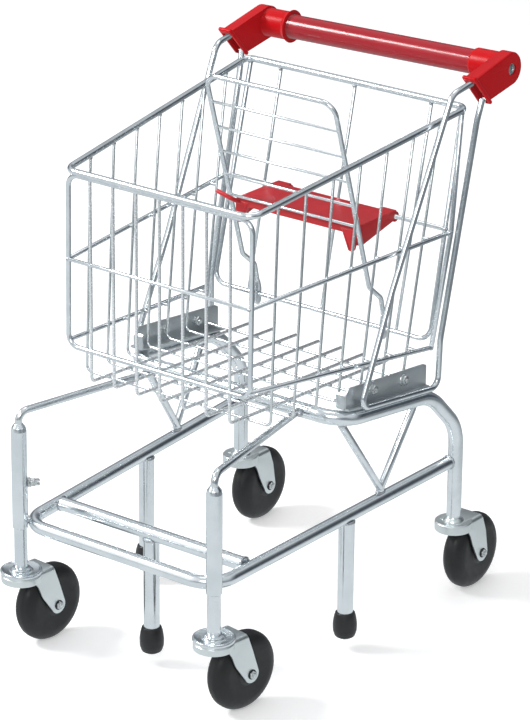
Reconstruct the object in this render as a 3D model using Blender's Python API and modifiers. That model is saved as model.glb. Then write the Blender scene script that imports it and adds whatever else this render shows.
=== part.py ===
"""Child-size wire shopping cart: chrome wire basket on a bent-tube frame, two
swivel casters in front, two fixed ones behind, a folding doll seat and a red
plastic push handle.

Frame: X is across the cart (nearly symmetric about X = 0), the front faces -Y,
the handle is at +Y, Z is up and the tyres stand on Z = 0.  "Right" means +X.
Lengths are in millimetres and become metres once, when a part is finished.
"""
import bpy
import bmesh
import math
from mathutils import Matrix, Vector

NAME = "shopping_cart"
MM = 0.001
FIT = 0.4                # clearance left between parts that touch in the real cart

# Wheels and forks
WHEEL_R = 42.0
WHEEL_W = 25.6
AXLE_R = 3.0
HUB_R = 12.5
FORK_GAP = 14.3          # half of the clear width inside a fork
FORK_T = 2.2             # fork sheet thickness
FORK_OUT = FORK_GAP + FORK_T
CROWN_T = FORK_T + 0.6
CROWN_Z = 88.0           # top of the fork crown
STEM_R = 5.8
STEM_TOP = 228.0
FRONT_X, FRONT_Y = 127.4, -220.4     # front swivel axis
FRONT_TRAIL = 37.0       # swivel axis to wheel axle
REAR_TRAIL = 33.2        # rear leg centre to wheel axle
RIGHT_YAW = math.radians(-8.0)       # how far each front caster is turned
LEFT_YAW = math.radians(-5.0)

# Frame
LEG_X, LEG_Y = 144.9, 167.2          # rear leg centre
TUBE_R = 7.9             # upper frame tube
TUBE_FRONT_Y = -30.0
RACK_R = 7.0             # lower rack tube
CROSS_R = 7.4            # lower cross tube
CROSS_Y = -163.5
ARM_R = 3.9              # front arm rods
ARM_Z = 264.8
SLEEVE_R = 8.2
SLEEVE_BORE = 6.2
SLEEVE_BOTTOM = 137.5
SLEEVE_SHOULDER = 247.0
SET_SCREW_Z = 187.0
TIP_LEG_R = 8.4
TIP_LEG_BOTTOM = 27.0
TIP_LEG_Y = -10.5        # the two legs under the rack sides

# Straight slopes: position, value there, change per mm
RACK_X = (-188.0, 125.6, 0.0462)     # x of the rack side, by y
RACK_Z = (-218.0, 142.3, 0.037)      # z of the rack side, by y
TUBE_Z = (-5.0, 263.2, -0.122)       # z of the upper tube side, by y
PANEL_Y = (421.9, 143.2, 0.231)      # y of the leaning rear panel, by z

# Basket
HOOP_R = 3.15            # side hoops
RIM_R = 3.5
RAIL_R = 2.4
WIRE_R = 1.45
RIM_FRONT = (118.5, -152.5, 508.0)   # x, y, z of the rim corners
RIM_REAR = (143.5, 172.0, 546.5)
FLOOR_FRONT = (-151.0, 285.9)        # y, z of the floor ends
FLOOR_REAR = (112.0, 272.9)
GRID_PITCH = 29.9        # spacing of the front and floor wires

# Seat and handle
SEAT_LEG_X = 83.5        # seat back side rods
SEAT_Y, SEAT_Z = 116.6, 307.0        # bottom rail of the rear panel
FLAP_Z, FLAP_Y = PANEL_Y[:2]         # middle rail of the rear panel
HANDLE_Y, HANDLE_Z = 220.0, 576.9    # handle tube centre
HANDLE_TILT = math.radians(1.25)
HANDLE_R = 13.0
HANDLE_END = 144.4       # half length of the handle tube

for old in list(bpy.data.objects):
    bpy.data.objects.remove(old, do_unlink=True)

parts = bpy.data.collections.new(NAME)
bpy.context.scene.collection.children.link(parts)
cutters = bpy.data.collections.new(NAME + "_cutters")
bpy.context.scene.collection.children.link(cutters)


# ----------------------------------------------------------------- materials
def chrome(roughness):
    return dict(colour=(0.72, 0.75, 0.78), roughness=roughness, metallic=1.0)


def plastic(colour, roughness):
    return dict(colour=colour, roughness=roughness, metallic=0.0)


RED = (0.72, 0.03, 0.04)
BLACK = (0.025, 0.026, 0.028)
TUBE_CHROME = chrome(roughness=0.28)
WIRE_CHROME = chrome(roughness=0.25)
BOLT_CHROME = chrome(roughness=0.3)
SLEEVE_CHROME = chrome(roughness=0.22)
FOOT_BLACK = plastic(colour=BLACK, roughness=0.6)
TYRE_BLACK = plastic(colour=BLACK, roughness=0.55)
HUB_BLACK = plastic(colour=(0.05, 0.05, 0.055), roughness=0.5)
FLAP_RED = plastic(colour=RED, roughness=0.35)
HANDLE_RED = plastic(colour=RED, roughness=0.3)


def material(name, colour, roughness, metallic):
    made = bpy.data.materials.new(name)
    made.use_nodes = True
    shader = made.node_tree.nodes["Principled BSDF"]
    shader.inputs["Base Color"].default_value = (*colour, 1.0)
    shader.inputs["Roughness"].default_value = roughness
    shader.inputs["Metallic"].default_value = metallic
    made.diffuse_color = (*colour, 1.0)
    return made


# -------------------------------------------------------------- path helpers
def sloped(line, at):
    """Value of a straight slope at a position."""
    position, value, slope = line
    return value + (at - position) * slope


def along(start, end, value, key):
    """Point of the line start-end whose coordinate number key has the value."""
    t = (value - start[key]) / (end[key] - start[key])
    return tuple(p + (q - p) * t for p, q in zip(start, end))


def across(half):
    """Path followed by its mirror image, running back to the start."""
    return half + [(-x, y, z) for x, y, z in reversed(half)]


def arc(centre_a, centre_b, radius, start, end, count):
    """Points of a flat arc; angles in degrees."""
    angles = [math.radians(start + (end - start) * i / count) for i in range(count + 1)]
    return [(centre_a + radius * math.cos(t), centre_b + radius * math.sin(t)) for t in angles]


def fillet(points, radius, step, closed):
    """Round the corners of a path; radius is one number or one per point."""
    pts = [Vector(p) for p in points]
    count = len(pts)
    out = []
    for i, corner in enumerate(pts):
        bend = radius[i] if isinstance(radius, (list, tuple)) else radius
        if (not closed and i in (0, count - 1)) or bend <= 0:
            out.append(corner)
            continue
        before = (pts[i - 1] - corner).normalized()
        after = (pts[(i + 1) % count] - corner).normalized()
        half = before.angle(after) / 2.0
        turn = math.pi - 2.0 * half
        if turn < 1e-3:
            out.append(corner)
            continue
        reach = bend / math.tan(half)
        centre = corner + (before + after).normalized() * (bend / math.sin(half))
        start = corner + before * reach - centre
        axis = start.cross(corner + after * reach - centre).normalized()
        pieces = max(1, int(math.ceil(math.degrees(turn) / step)))
        for j in range(pieces + 1):
            out.append(centre + Matrix.Rotation(turn * j / pieces, 3, axis) @ start)
    return out


# ------------------------------------------------------------- solid helpers
def mesh_of(obj):
    """Evaluated copy of an object's mesh; the object is dropped."""
    graph = bpy.context.evaluated_depsgraph_get()
    graph.update()
    mesh = bpy.data.meshes.new_from_object(obj.evaluated_get(graph))
    bpy.data.objects.remove(obj, do_unlink=True)
    return mesh


def clean(mesh, merge=0.002):
    """Merge close points and make the normals face outwards."""
    edit = bmesh.new()
    edit.from_mesh(mesh)
    bmesh.ops.remove_doubles(edit, verts=edit.verts, dist=merge)
    bmesh.ops.dissolve_degenerate(edit, edges=edit.edges, dist=merge)
    bmesh.ops.recalc_face_normals(edit, faces=edit.faces)
    edit.to_mesh(mesh)
    edit.free()
    return mesh


def rod(points, radius, sides=8, bend=0.0, closed=False, step=18.0):
    """Round bar swept along a path; step is the degrees per bend segment."""
    path = fillet(points, bend, step, closed) if bend else [Vector(p) for p in points]
    curve = bpy.data.curves.new("path", "CURVE")
    curve.dimensions = "3D"
    curve.bevel_depth = radius
    curve.bevel_resolution = (sides - 4) // 2
    curve.use_fill_caps = True
    curve.twist_mode = "MINIMUM"
    spline = curve.splines.new("POLY")
    spline.points.add(len(path) - 1)
    for knot, p in zip(spline.points, path):
        knot.co = (p.x, p.y, p.z, 1.0)
    spline.use_cyclic_u = closed
    obj = bpy.data.objects.new("path", curve)
    cutters.objects.link(obj)
    return clean(mesh_of(obj))


def lathe(profile, steps, centre=(0, 0, 0), axis="Z"):
    """Solid turned about Z or X from an outline of (radius, distance along axis)."""
    mesh = bpy.data.meshes.new("profile")
    count = len(profile)
    edges = [(i, (i + 1) % count) for i in range(count)]
    edges = [e for e in edges if max(profile[e[0]][0], profile[e[1]][0]) >= 1e-6]
    mesh.from_pydata([(r, 0.0, h) for r, h in profile], edges, [])
    obj = bpy.data.objects.new("profile", mesh)
    cutters.objects.link(obj)
    mod = obj.modifiers.new("Screw", "SCREW")
    mod.steps = mod.render_steps = steps
    mod.use_merge_vertices = True
    mod.merge_threshold = 0.0001
    out = mesh_of(obj)
    if axis == "X":
        out.transform(Matrix.Rotation(math.pi / 2, 4, "Y"))
    out.transform(Matrix.Translation(Vector(centre)))
    return clean(out)


def cylinder(radius, low, high, steps, centre=(0, 0, 0), axis="Z"):
    return lathe([(0.0, low), (radius, low), (radius, high), (0.0, high)], steps, centre, axis)


def prism(outline, depth, plane, start):
    """Flat outline pushed along the remaining axis from start by depth."""
    k = {"YZ": 0, "XZ": 1, "XY": 2}[plane]
    push = Vector((0, 0, 0))
    push[k] = depth
    edit = bmesh.new()
    face = edit.faces.new([edit.verts.new((*p[:k], start, *p[k:])) for p in outline])
    pushed = bmesh.ops.extrude_face_region(edit, geom=[face])["geom"]
    bmesh.ops.translate(edit, vec=push,
                        verts=[g for g in pushed if isinstance(g, bmesh.types.BMVert)])
    bmesh.ops.recalc_face_normals(edit, faces=edit.faces)
    mesh = bpy.data.meshes.new("prism")
    edit.to_mesh(mesh)
    edit.free()
    return mesh


def combine(base, others, operation):
    group = bpy.data.collections.new("operands")
    cutters.children.link(group)
    for mesh in others:
        operand = bpy.data.objects.new("operand", mesh)
        operand.hide_render = True
        group.objects.link(operand)
    obj = bpy.data.objects.new("base", base)
    cutters.objects.link(obj)
    mod = obj.modifiers.new("Boolean", "BOOLEAN")
    mod.operation = operation
    mod.solver = "EXACT"
    mod.operand_type = "COLLECTION"
    mod.collection = group
    out = mesh_of(obj)
    for operand in list(group.objects):
        bpy.data.objects.remove(operand, do_unlink=True)
    bpy.data.collections.remove(group)
    return clean(out, 0.01)


def weld(meshes):
    """Join solids into one skin."""
    return combine(meshes[0], meshes[1:], "UNION")


def cut(mesh, tools):
    return combine(mesh, tools, "DIFFERENCE")


def mirrored(mesh):
    out = mesh.copy()
    out.transform(Matrix.Scale(-1.0, 4, Vector((1, 0, 0))))
    out.flip_normals()
    return out


def finish(name, mesh, look, origin=(0, 0, 0)):
    """Turn a millimetre mesh into a named part with its own origin."""
    mesh = mesh.copy()
    origin = Vector(origin)
    mesh.transform(Matrix.Translation(-origin))
    mesh.transform(Matrix.Scale(MM, 4))
    mesh.name = name
    mesh.materials.clear()
    mesh.materials.append(material(name + "_finish", **look))
    obj = bpy.data.objects.new(name, mesh)
    obj.location = origin * MM
    parts.objects.link(obj)
    mesh.shade_smooth()
    mesh.set_sharp_from_angle(angle=math.radians(40.0))


def both(name, mesh, look):
    """A right-hand part and its mirror image on the left."""
    finish(name + "_right", mesh, look)
    finish(name + "_left", mirrored(mesh), look)


# --------------------------------------------------------------------- frame
def rack_point(y, lift=0.0):
    """Centre of the right rack side at y, raised by lift."""
    return sloped(RACK_X, y), y, sloped(RACK_Z, y) + lift


CROSS_Z = rack_point(CROSS_Y)[2] + 2.2


def upper_frame():
    """One tube: up a rear leg, forward, across the front and back down."""
    half = [(LEG_X, LEG_Y, 91.5), (LEG_X, LEG_Y, 196.0),
            (LEG_X - 1.5, 118.0, sloped(TUBE_Z, 118.0) - 2.0), (140.0, TUBE_FRONT_Y, 262.8)]
    bends = [0, 52, 60, 30, 30, 60, 52, 0]
    finish("upper_frame_tube", rod(across(half), TUBE_R, 12, bends, step=15.0), TUBE_CHROME)


def lower_rack():
    front_y = -217.8
    half = [(sloped(RACK_X, 150.0) + 0.4, LEG_Y - TUBE_R - 1.0, sloped(RACK_Z, 158.0)),
            (124.8, front_y, sloped(RACK_Z, front_y))]
    finish("lower_rack_tube", rod(across(half), RACK_R, 12, [0, 30, 30, 0], step=15.0),
           TUBE_CHROME)
    end_x = sloped(RACK_X, -160.0) - RACK_R - FIT
    finish("rack_cross_tube", rod(across([(-end_x, CROSS_Y, CROSS_Z)]), CROSS_R, 12),
           TUBE_CHROME)


def swivel_mounts():
    """Arm rods from the upper tube, with the sleeves and their set screws."""
    arm = rod([(FRONT_X, FRONT_Y, SLEEVE_SHOULDER + 5.0), (FRONT_X, FRONT_Y, ARM_Z),
               (91.5, TUBE_FRONT_Y - TUBE_R - ARM_R - 0.2, ARM_Z)], ARM_R, 8, [0, 11, 0], step=15.0)
    both("arm_rod", arm, TUBE_CHROME)

    # radius, z: open bore below, domed top above
    sleeve = [(SLEEVE_BORE, SLEEVE_BOTTOM), (SLEEVE_R, SLEEVE_BOTTOM), (SLEEVE_R, 243.5),
              (7.4, SLEEVE_SHOULDER), (5.6, 249.4), (4.6, 251.5), (0.0, 251.5),
              (0.0, 243.0), (SLEEVE_BORE, 243.0)]
    both("swivel_sleeve", lathe(sleeve, 24, (FRONT_X, FRONT_Y, 0)), SLEEVE_CHROME)

    # radius, distance out from the sleeve
    screw_profile = [(0.0, 0.0), (5.2, 0.0), (5.2, 3.0), (4.0, 3.6), (4.0, 7.0), (3.4, 7.4),
                     (3.4, 12.5), (0.0, 12.5)]
    screw = lathe(screw_profile, 12, (SLEEVE_R + FIT, 0, SET_SCREW_Z), "X")
    # pointing inwards and to the rear
    screw.transform(Matrix.Rotation(math.radians(135.0), 4, "Z"))
    screw.transform(Matrix.Translation(Vector((FRONT_X, FRONT_Y, 0))))
    both("set_screw", screw, BOLT_CHROME)


def tip_leg(tag, x, y, top):
    """Anti-tip leg with its rubber foot."""
    leg = cylinder(TIP_LEG_R, TIP_LEG_BOTTOM, top, 16, (x, y, 0))
    finish("tip_leg_" + tag, leg, TUBE_CHROME)
    socket_r = TIP_LEG_R + FIT
    socket_z = TIP_LEG_BOTTOM - FIT
    # radius, z
    foot = [(0.0, 13.0), (6.5, 13.0), (10.0, 15.2), (12.0, 21.0), (12.2, 29.0), (11.2, 37.0),
            (10.0, 41.5), (socket_r, 42.0), (socket_r, socket_z), (0.0, socket_z)]
    finish("tip_foot_" + tag, lathe(foot, 20, (x, y, 0)), FOOT_BLACK)


def tip_legs():
    tip_leg("center", 0.0, CROSS_Y, CROSS_Z - CROSS_R - FIT)
    x, y, z = rack_point(TIP_LEG_Y)
    for tag, s in (("right", 1), ("left", -1)):
        tip_leg(tag, s * x, y, z - RACK_R - FIT)


def v_braces():
    """Two rods from the upper tube meeting just above the rack side."""
    x, y, z = rack_point(43.6, RACK_R + 4.4)
    front = rod([(129.6, -16.4, 250.6), (x, y + 1.5, z)], 4.0, 8)
    rear = rod([(141.6, 90.0, sloped(TUBE_Z, 90.0) - TUBE_R - 4.9), (x, y - 1.0, z + 0.4)],
               3.5, 8)
    both("v_brace", weld([front, rear]), TUBE_CHROME)


# ------------------------------------------------------------------- casters
# Fork outlines, heights measured from CROWN_Z.
# y, height of the cheek's front edge going down and rear edge going up
CHEEK_FRONT = [(-6.0, -0.4), (-7.0, -8.0), (5.0, -11.0), (9.5, -17.4), (14.7, -31.0)]
CHEEK_REAR = [(38.4, -20.5), (32.0, -4.5), (30.5, -0.4)]
# radius, height of the crown cup
CUP_BASE = [(0.0, -9.6), (19.6, -9.6), (20.6, -8.6)]
SWIVEL_CUP = [(21.2, -2.6), (21.8, -1.4), (21.6, 2.2), (19.6, 3.4), (11.0, 0.6), (8.0, 2.2),
              (STEM_R, 2.6), (STEM_R, STEM_TOP - CROWN_Z), (0.0, STEM_TOP - CROWN_Z)]
FIXED_CUP = [(20.9, -1.2), (20.0, -0.1), (10.4, -0.1), (9.4, 2.6), (0.0, 2.6)]


def from_crown(outline):
    return [(p, CROWN_Z + height) for p, height in outline]


def fork(trail, swivel):
    """Pressed fork at the origin, wheel trailing to +Y, axle at WHEEL_R."""
    axle = (0, trail, WHEEL_R)
    crown = arc(0, 0, 20.8, 142, 398, 14) + [(FORK_OUT, 31.0), (-FORK_OUT, 31.0)]
    cheek = (from_crown(CHEEK_FRONT) + arc(trail, WHEEL_R, 9.4, 205, 372, 9)
             + from_crown(CHEEK_REAR))
    skins = [prism(crown, CROWN_T, "XY", CROWN_Z - CROWN_T)]
    for start in (FORK_GAP, -FORK_OUT):
        skins.append(prism(cheek, FORK_T, "YZ", start))
    skins.append(lathe(from_crown(CUP_BASE + (SWIVEL_CUP if swivel else FIXED_CUP)), 24))
    room = cylinder(WHEEL_R + 1.4, -FORK_GAP, FORK_GAP, 48, axle, "X")
    hollow = cylinder(18.4, CROWN_Z - 20.0, CROWN_Z - FORK_T - 0.8, 24)
    bore = cylinder(AXLE_R + 0.3, -30.0, 30.0, 16, axle, "X")
    return cut(cut(weld(skins), [room, hollow]), [bore])


def two_sided(half, middle=()):
    """Wheel outline completed by its mirror image."""
    return half + list(middle) + [(r, -h) for r, h in reversed(half)]


# radius, distance along the axle
HALF_W = WHEEL_W / 2.0
TYRE_PROFILE = two_sided([(HUB_R + 0.3, -HALF_W + 0.4), (26.0, -HALF_W), (31.0, -HALF_W + 0.4),
                          (35.5, -10.2), (39.0, -7.2), (41.3, -3.6)], [(WHEEL_R, 0.0)])
HUB_PROFILE = two_sided([(AXLE_R + 0.4, -13.8), (7.0, -13.8), (8.0, -12.6), (HUB_R, -12.2)])
BOLT_END = FORK_OUT + FIT
AXLE_PROFILE = [(0.0, -BOLT_END - 3.0), (4.0, -BOLT_END - 3.0), (5.2, -BOLT_END),
                (AXLE_R, -BOLT_END), (AXLE_R, BOLT_END), (4.9, BOLT_END),
                (4.9, BOLT_END + 2.6), (3.6, BOLT_END + 3.8), (0.0, BOLT_END + 3.8)]


def caster(tag, x, y, trail, yaw, swivel):
    place = Matrix.Translation(Vector((x, y, 0))) @ Matrix.Rotation(yaw, 4, "Z")
    axle = (0, trail, WHEEL_R)
    hub = place @ Vector(axle)
    for name, mesh, look, origin in (
            ("caster_fork_", fork(trail, swivel), WIRE_CHROME, (x, y, 0)),
            ("axle_bolt_", lathe(AXLE_PROFILE, 12, axle, "X"), BOLT_CHROME, hub),
            ("tyre_", lathe(TYRE_PROFILE, 32, axle, "X"), TYRE_BLACK, hub),
            ("wheel_hub_", lathe(HUB_PROFILE, 24, axle, "X"), HUB_BLACK, hub)):
        mesh.transform(place)
        finish(name + tag, mesh, look, origin)


def casters():
    for side, s, yaw in (("right", 1, RIGHT_YAW), ("left", -1, LEFT_YAW)):
        caster("front_" + side, s * FRONT_X, FRONT_Y, FRONT_TRAIL, yaw, swivel=True)
        caster("rear_" + side, s * LEG_X, LEG_Y, REAR_TRAIL, 0.0, swivel=False)


# -------------------------------------------------------------------- basket
BASKET_HOOP_X = RIM_FRONT[0] - 1.5   # uprights of the front hoop
BASKET_HOOP_TOP = 507.0
BASKET_HOOP_BOTTOM = 320.0
MID_RAIL_Z = 413.5                   # rail heights at the front hoop
LOW_RAIL_Z = 326.0
MID_RAIL_END = (148.6, 141.8, 421.2) # x, y, z at the rear corner
LOW_RAIL_END = (148.0, 112.0, 302.4)
CROSS_WIRES = 7
CROSS_TOP_Y, CROSS_TOP_PITCH = -112.7, 40.6      # at the rim
CROSS_LOW_Y, CROSS_LOW_PITCH = -121.9, 34.6      # at the floor
CROSS_LOW_X, CROSS_LOW_WIDENING = 119.9, 1.9


def floor_z(y):
    return along(FLOOR_FRONT, FLOOR_REAR, y, 0)[1]


def front_hoop():
    """Two uprights and a bottom bar under the rim, with one middle bar."""
    x, y = BASKET_HOOP_X, RIM_FRONT[1]
    hoop = across([(x, y, BASKET_HOOP_TOP), (x, y, BASKET_HOOP_BOTTOM)])
    return [rod(hoop, RAIL_R + 0.3, 8, [0, 13, 13, 0], step=22.5),
            rod(across([(x, y - 0.5, MID_RAIL_Z)]), 1.9, 6)]


def side_rails(s):
    """Middle and bottom rails, and the rear corner upright, on side s."""
    front_x, front_y = s * BASKET_HOOP_X, RIM_FRONT[1]
    mid_x, mid_y, mid_z = MID_RAIL_END
    low_x, low_y, low_z = LOW_RAIL_END
    return [rod([(front_x, front_y, MID_RAIL_Z), (s * mid_x, mid_y, mid_z)], RAIL_R, 6),
            rod([(front_x, front_y, LOW_RAIL_Z), (s * low_x, low_y, low_z)], RAIL_R, 6),
            rod([(s * 143.6, 162.5, 544.5), (s * mid_x, mid_y, mid_z),
                 (s * low_x, low_y, low_z - 2.0)], RAIL_R + 0.2, 8)]


def long_wire(x):
    """Hung from the front of the rim, bent under and run back as the floor."""
    front_y = RIM_FRONT[1] + 3.0
    rear_y = FLOOR_REAR[0] + 3.0
    return rod([(x, front_y, 506.5), (x, front_y, FLOOR_FRONT[1]), (x, rear_y, floor_z(rear_y))],
               WIRE_R, 6, [0, 5, 0], step=45.0)


def cross_wire(i):
    """Down one side, across under the long wires and up the other side."""
    low_y = CROSS_LOW_Y + i * CROSS_LOW_PITCH
    x, y, z = along(RIM_FRONT, RIM_REAR, CROSS_TOP_Y + i * CROSS_TOP_PITCH, 1)
    half = [(x - 1.6, y, z - 0.8),
            (CROSS_LOW_X + i * CROSS_LOW_WIDENING, low_y, floor_z(low_y) - 2.3)]
    return rod(across(half), WIRE_R, 6, [0, 6, 6, 0], step=45.0)


def wire_basket():
    rim = rod(across([RIM_FRONT, RIM_REAR]), RIM_R, 8, [14, 10, 10, 14], closed=True, step=22.5)
    wires = [rim] + front_hoop() + side_rails(1) + side_rails(-1)
    wires += [long_wire(i * GRID_PITCH) for i in range(-3, 4)]
    wires += [cross_wire(i) for i in range(CROSS_WIRES)]
    finish("wire_basket", weld(wires), WIRE_CHROME)


def rear_panel():
    """Frame with rounded lower corners, a middle rail and three uprights."""
    top_z = RIM_REAR[2] - RIM_R - 0.9
    top_y = sloped(PANEL_Y, top_z)
    low_y = sloped(PANEL_Y, SEAT_Z)
    frame = across([(137.5, top_y, top_z), (142.4, low_y, SEAT_Z)])
    wires = [rod(frame, RAIL_R, 8, [0, 14, 14, 0], step=22.5),
             rod(across([(-140.4, FLAP_Y, FLAP_Z)]), RAIL_R, 8)]
    for x in (-98.0, 0.0, 98.0):
        wires.append(rod([(x, top_y + 2.4, top_z - 0.4), (x, low_y + 2.6, SEAT_Z - 1.5)],
                         WIRE_R + 0.2, 6))
    finish("rear_panel", weld(wires), WIRE_CHROME)


# ------------------------------------------------- side hoops and brackets
def side_hoops():
    """Rods from the handle caps down under the basket and back up behind it."""
    # lift raises both ends to follow the handle's tilt
    for side, s, shoulder_z, lift in (("right", 1, 571.5, 3.4), ("left", -1, 568.8, -3.4)):
        path = [(156.5, 159.4, 574.5 + lift), (152.4, 131.5, shoulder_z), (146.6, 42.0, 382.0),
                (148.6, -10.5, 272.4), (151.2, 121.5, 256.4), (152.0, 122.5, 308.0),
                (154.6, 173.6, 530.0 + lift), (156.5, 179.5, 552.4 + lift)]
        hoop = rod([(s * x, y, z) for x, y, z in path], HOOP_R, 8, [0, 16, 60, 9, 11, 40, 3, 0])
        finish("side_hoop_" + side, hoop, WIRE_CHROME)


BRACKET_X = 137.6        # inner face of the bracket web
BRACKET_BOLTS = {"front": (22.0, 281.5), "rear": (76.0, 275.5)}      # y, z
# y, z outlines of the bracket's three leaves
WEB = [(-24.0, 272.6), (-24.0, 288.0), (-17.0, 295.0), (112.0, 282.0), (117.0, 279.5),
       (117.0, 255.8)]
FLANGE = [(-24.0, 272.6), (117.0, 255.8), (117.0, 257.8), (-24.0, 274.6)]
FRONT_LEAF = [(-24.0, 272.6), (-24.0, 288.0), (-22.0, 290.0), (-22.0, 272.4)]


def basket_brackets():
    bracket = weld([prism(WEB, 2.0, "YZ", BRACKET_X), prism(FLANGE, 6.4, "YZ", BRACKET_X),
                    prism(FRONT_LEAF, 12.0, "YZ", 127.0)])
    holes = [cylinder(2.9, 130.0, 150.0, 12, (0, y, z), "X") for y, z in BRACKET_BOLTS.values()]
    both("basket_bracket", cut(bracket, holes), BOLT_CHROME)
    for tag, (y, z) in BRACKET_BOLTS.items():
        centre = (0, y, z)
        shank = cylinder(2.5, 135.0, 144.8, 12, centre, "X")
        nut = cylinder(5.2, 140.0, 143.6, 6, centre, "X")
        head = lathe([(0.0, 133.6), (4.6, 135.2), (4.6, 137.2), (0.0, 137.2)], 12, centre, "X")
        both("bracket_bolt_" + tag, weld([shank, nut, head]), BOLT_CHROME)


# -------------------------------------------------------------- folding seat
SEAT_KINK = (90.0, 360.0)            # y, z where the side rods lean forward
SEAT_TOP = (25.5, 573.0)
SEAT_WIRE_Z = (432.0, 456.0, 484.0, 513.0, 542.0)


def seat_back():
    left_rod = [(-SEAT_LEG_X, SEAT_Y, SEAT_Z + 9.0), (-SEAT_LEG_X, SEAT_Y - 0.6, SEAT_Z + 15.0),
                (-SEAT_LEG_X, 111.0, 342.5), (-SEAT_LEG_X, *SEAT_KINK), (-82.5, *SEAT_TOP)]
    seat = [rod(across(left_rod), 2.6, 8, [0, 0, 9, 12, 16, 16, 12, 9, 0, 0], step=22.5)]
    for z in SEAT_WIRE_Z:
        y = along(SEAT_KINK, SEAT_TOP, z, 1)[0]
        seat.append(rod(across([(-82.8, y, z)]), WIRE_R, 6))
    # flattened feet of the side rods, with the eyes that turn on the rail
    foot = arc(SEAT_Y, SEAT_Z - 7.0, 4.9, 180, 360, 8)
    foot += [(SEAT_Y + dy, SEAT_Z + dz)
             for dy, dz in ((5.2, 6.0), (2.4, 15.0), (-2.6, 15.0), (-5.2, 6.0))]
    for s in (-1, 1):
        seat.append(prism(foot, 3.4, "YZ", s * SEAT_LEG_X - 1.7))
    eyes = [cylinder(RAIL_R + FIT, -9.0, 9.0, 16, (s * SEAT_LEG_X, SEAT_Y, SEAT_Z), "X")
            for s in (-1, 1)]
    finish("seat_back", cut(weld(seat), eyes), WIRE_CHROME, origin=(0, SEAT_Y, SEAT_Z))


# Flap outlines, z measured from the middle rail
FLAP_W = 155.0
FLAP_EDGE = FLAP_Y + 1.0             # rear edge of the board
BOARD = [(71.0, -0.6), (71.0, 6.5), (72.0, 7.3), (FLAP_EDGE, 7.3), (FLAP_EDGE, 3.8),
         (74.0, 3.8), (74.0, -0.6)]                          # y, z
SKIRT = [(71.4, 6.2), (FLAP_Y - 2.0, 6.2), (FLAP_Y - 4.0, -3.5), (84.0, -16.0),
         (71.4, -12.0)]                                      # y, z
SKIRT_X, SKIRT_T = 75.6, 2.4
LUG = [(61.0, 3.0), (77.4, 3.0), (77.4, -12.0), (75.6, -19.0), (70.4, -19.0),
       (67.4, -12.0)]                                        # x, z


def seat_flap():
    """Board with a turned-down front edge, side skirts, front lugs and barrels."""
    rail = (0, FLAP_Y, FLAP_Z)
    board = [(y, FLAP_Z + z) for y, z in BOARD]
    skirt = [(y, FLAP_Z + z) for y, z in SKIRT]
    flap = [prism(board, FLAP_W, "YZ", -FLAP_W / 2.0)]
    for s in (-1, 1):
        flap.append(prism(skirt, SKIRT_T, "YZ", SKIRT_X if s > 0 else -SKIRT_X - SKIRT_T))
        flap.append(prism([(s * x, FLAP_Z + z) for x, z in LUG], 7.0, "XZ", 70.2))
        flap.append(cylinder(5.6, -8.5, 8.5, 16, (s * 69.0, FLAP_Y, FLAP_Z), "X"))
    # peg on the left front corner, reaching out in front of the seat back's side rod
    flap.append(rod([(-72.0, 74.0, FLAP_Z + 2.0), (-77.0, 62.0, FLAP_Z + 9.5),
                     (-94.0, 60.8, FLAP_Z + 13.5)], 2.5, 8, [0, 5, 0]))
    # bore for the rail, and the board's rear edge opened between the barrels
    bore = cylinder(RAIL_R + FIT, -80.0, 80.0, 16, rail, "X")
    gap = [(FLAP_Y + dy, FLAP_Z + dz)
           for dy, dz in ((-6.0, -9.0), (9.0, -9.0), (9.0, 9.0), (-6.0, 9.0))]
    finish("seat_flap", cut(weld(flap), [bore, prism(gap, 120.0, "YZ", -60.0)]), FLAP_RED,
           origin=rail)


# --------------------------------------------------------------- push handle
HANDLE_CENTRE = (0, HANDLE_Y, HANDLE_Z)
CAP_X, CAP_W = 151.0, 14.2           # inner face and width of the cap body
CAP_OUT = CAP_X + CAP_W
MOUTH_TOP = (150.4, 581.4)           # y, z ends of the cap's mouth line
MOUTH_LOW = (180.4, 548.2)
MOUTH_RUN = math.dist(MOUTH_TOP, MOUTH_LOW)


def mouth(run, depth):
    """Point at run along the mouth line and depth into the cap."""
    dy = (MOUTH_LOW[0] - MOUTH_TOP[0]) / MOUTH_RUN
    dz = (MOUTH_LOW[1] - MOUTH_TOP[1]) / MOUTH_RUN
    return MOUTH_TOP[0] + dy * run - dz * depth, MOUTH_TOP[1] + dz * run + dy * depth


def level(mesh):
    """Tilt a handle part: the handle sits slightly out of level, right end up."""
    lift = Matrix.Translation(Vector((0, 0, HANDLE_Z)))
    mesh.transform(lift @ Matrix.Rotation(-HANDLE_TILT, 4, "Y") @ lift.inverted())
    return mesh


def cap_body():
    """Rounded block with its outer edge bevelled."""
    outline = [mouth(3.4, 3.0), mouth(MOUTH_RUN - 3.0, 3.0)]
    body = prism(outline + arc(HANDLE_Y, HANDLE_Z, 17.6, -76, 100, 9), CAP_W, "YZ", CAP_X)
    edit = bmesh.new()
    edit.from_mesh(body)
    outer = [e for e in edit.edges if all(abs(v.co.x - CAP_OUT) < 0.01 for v in e.verts)]
    bmesh.ops.bevel(edit, geom=outer, offset=2.6, segments=2, affect="EDGES", profile=0.6)
    edit.to_mesh(body)
    edit.free()
    return body


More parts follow.
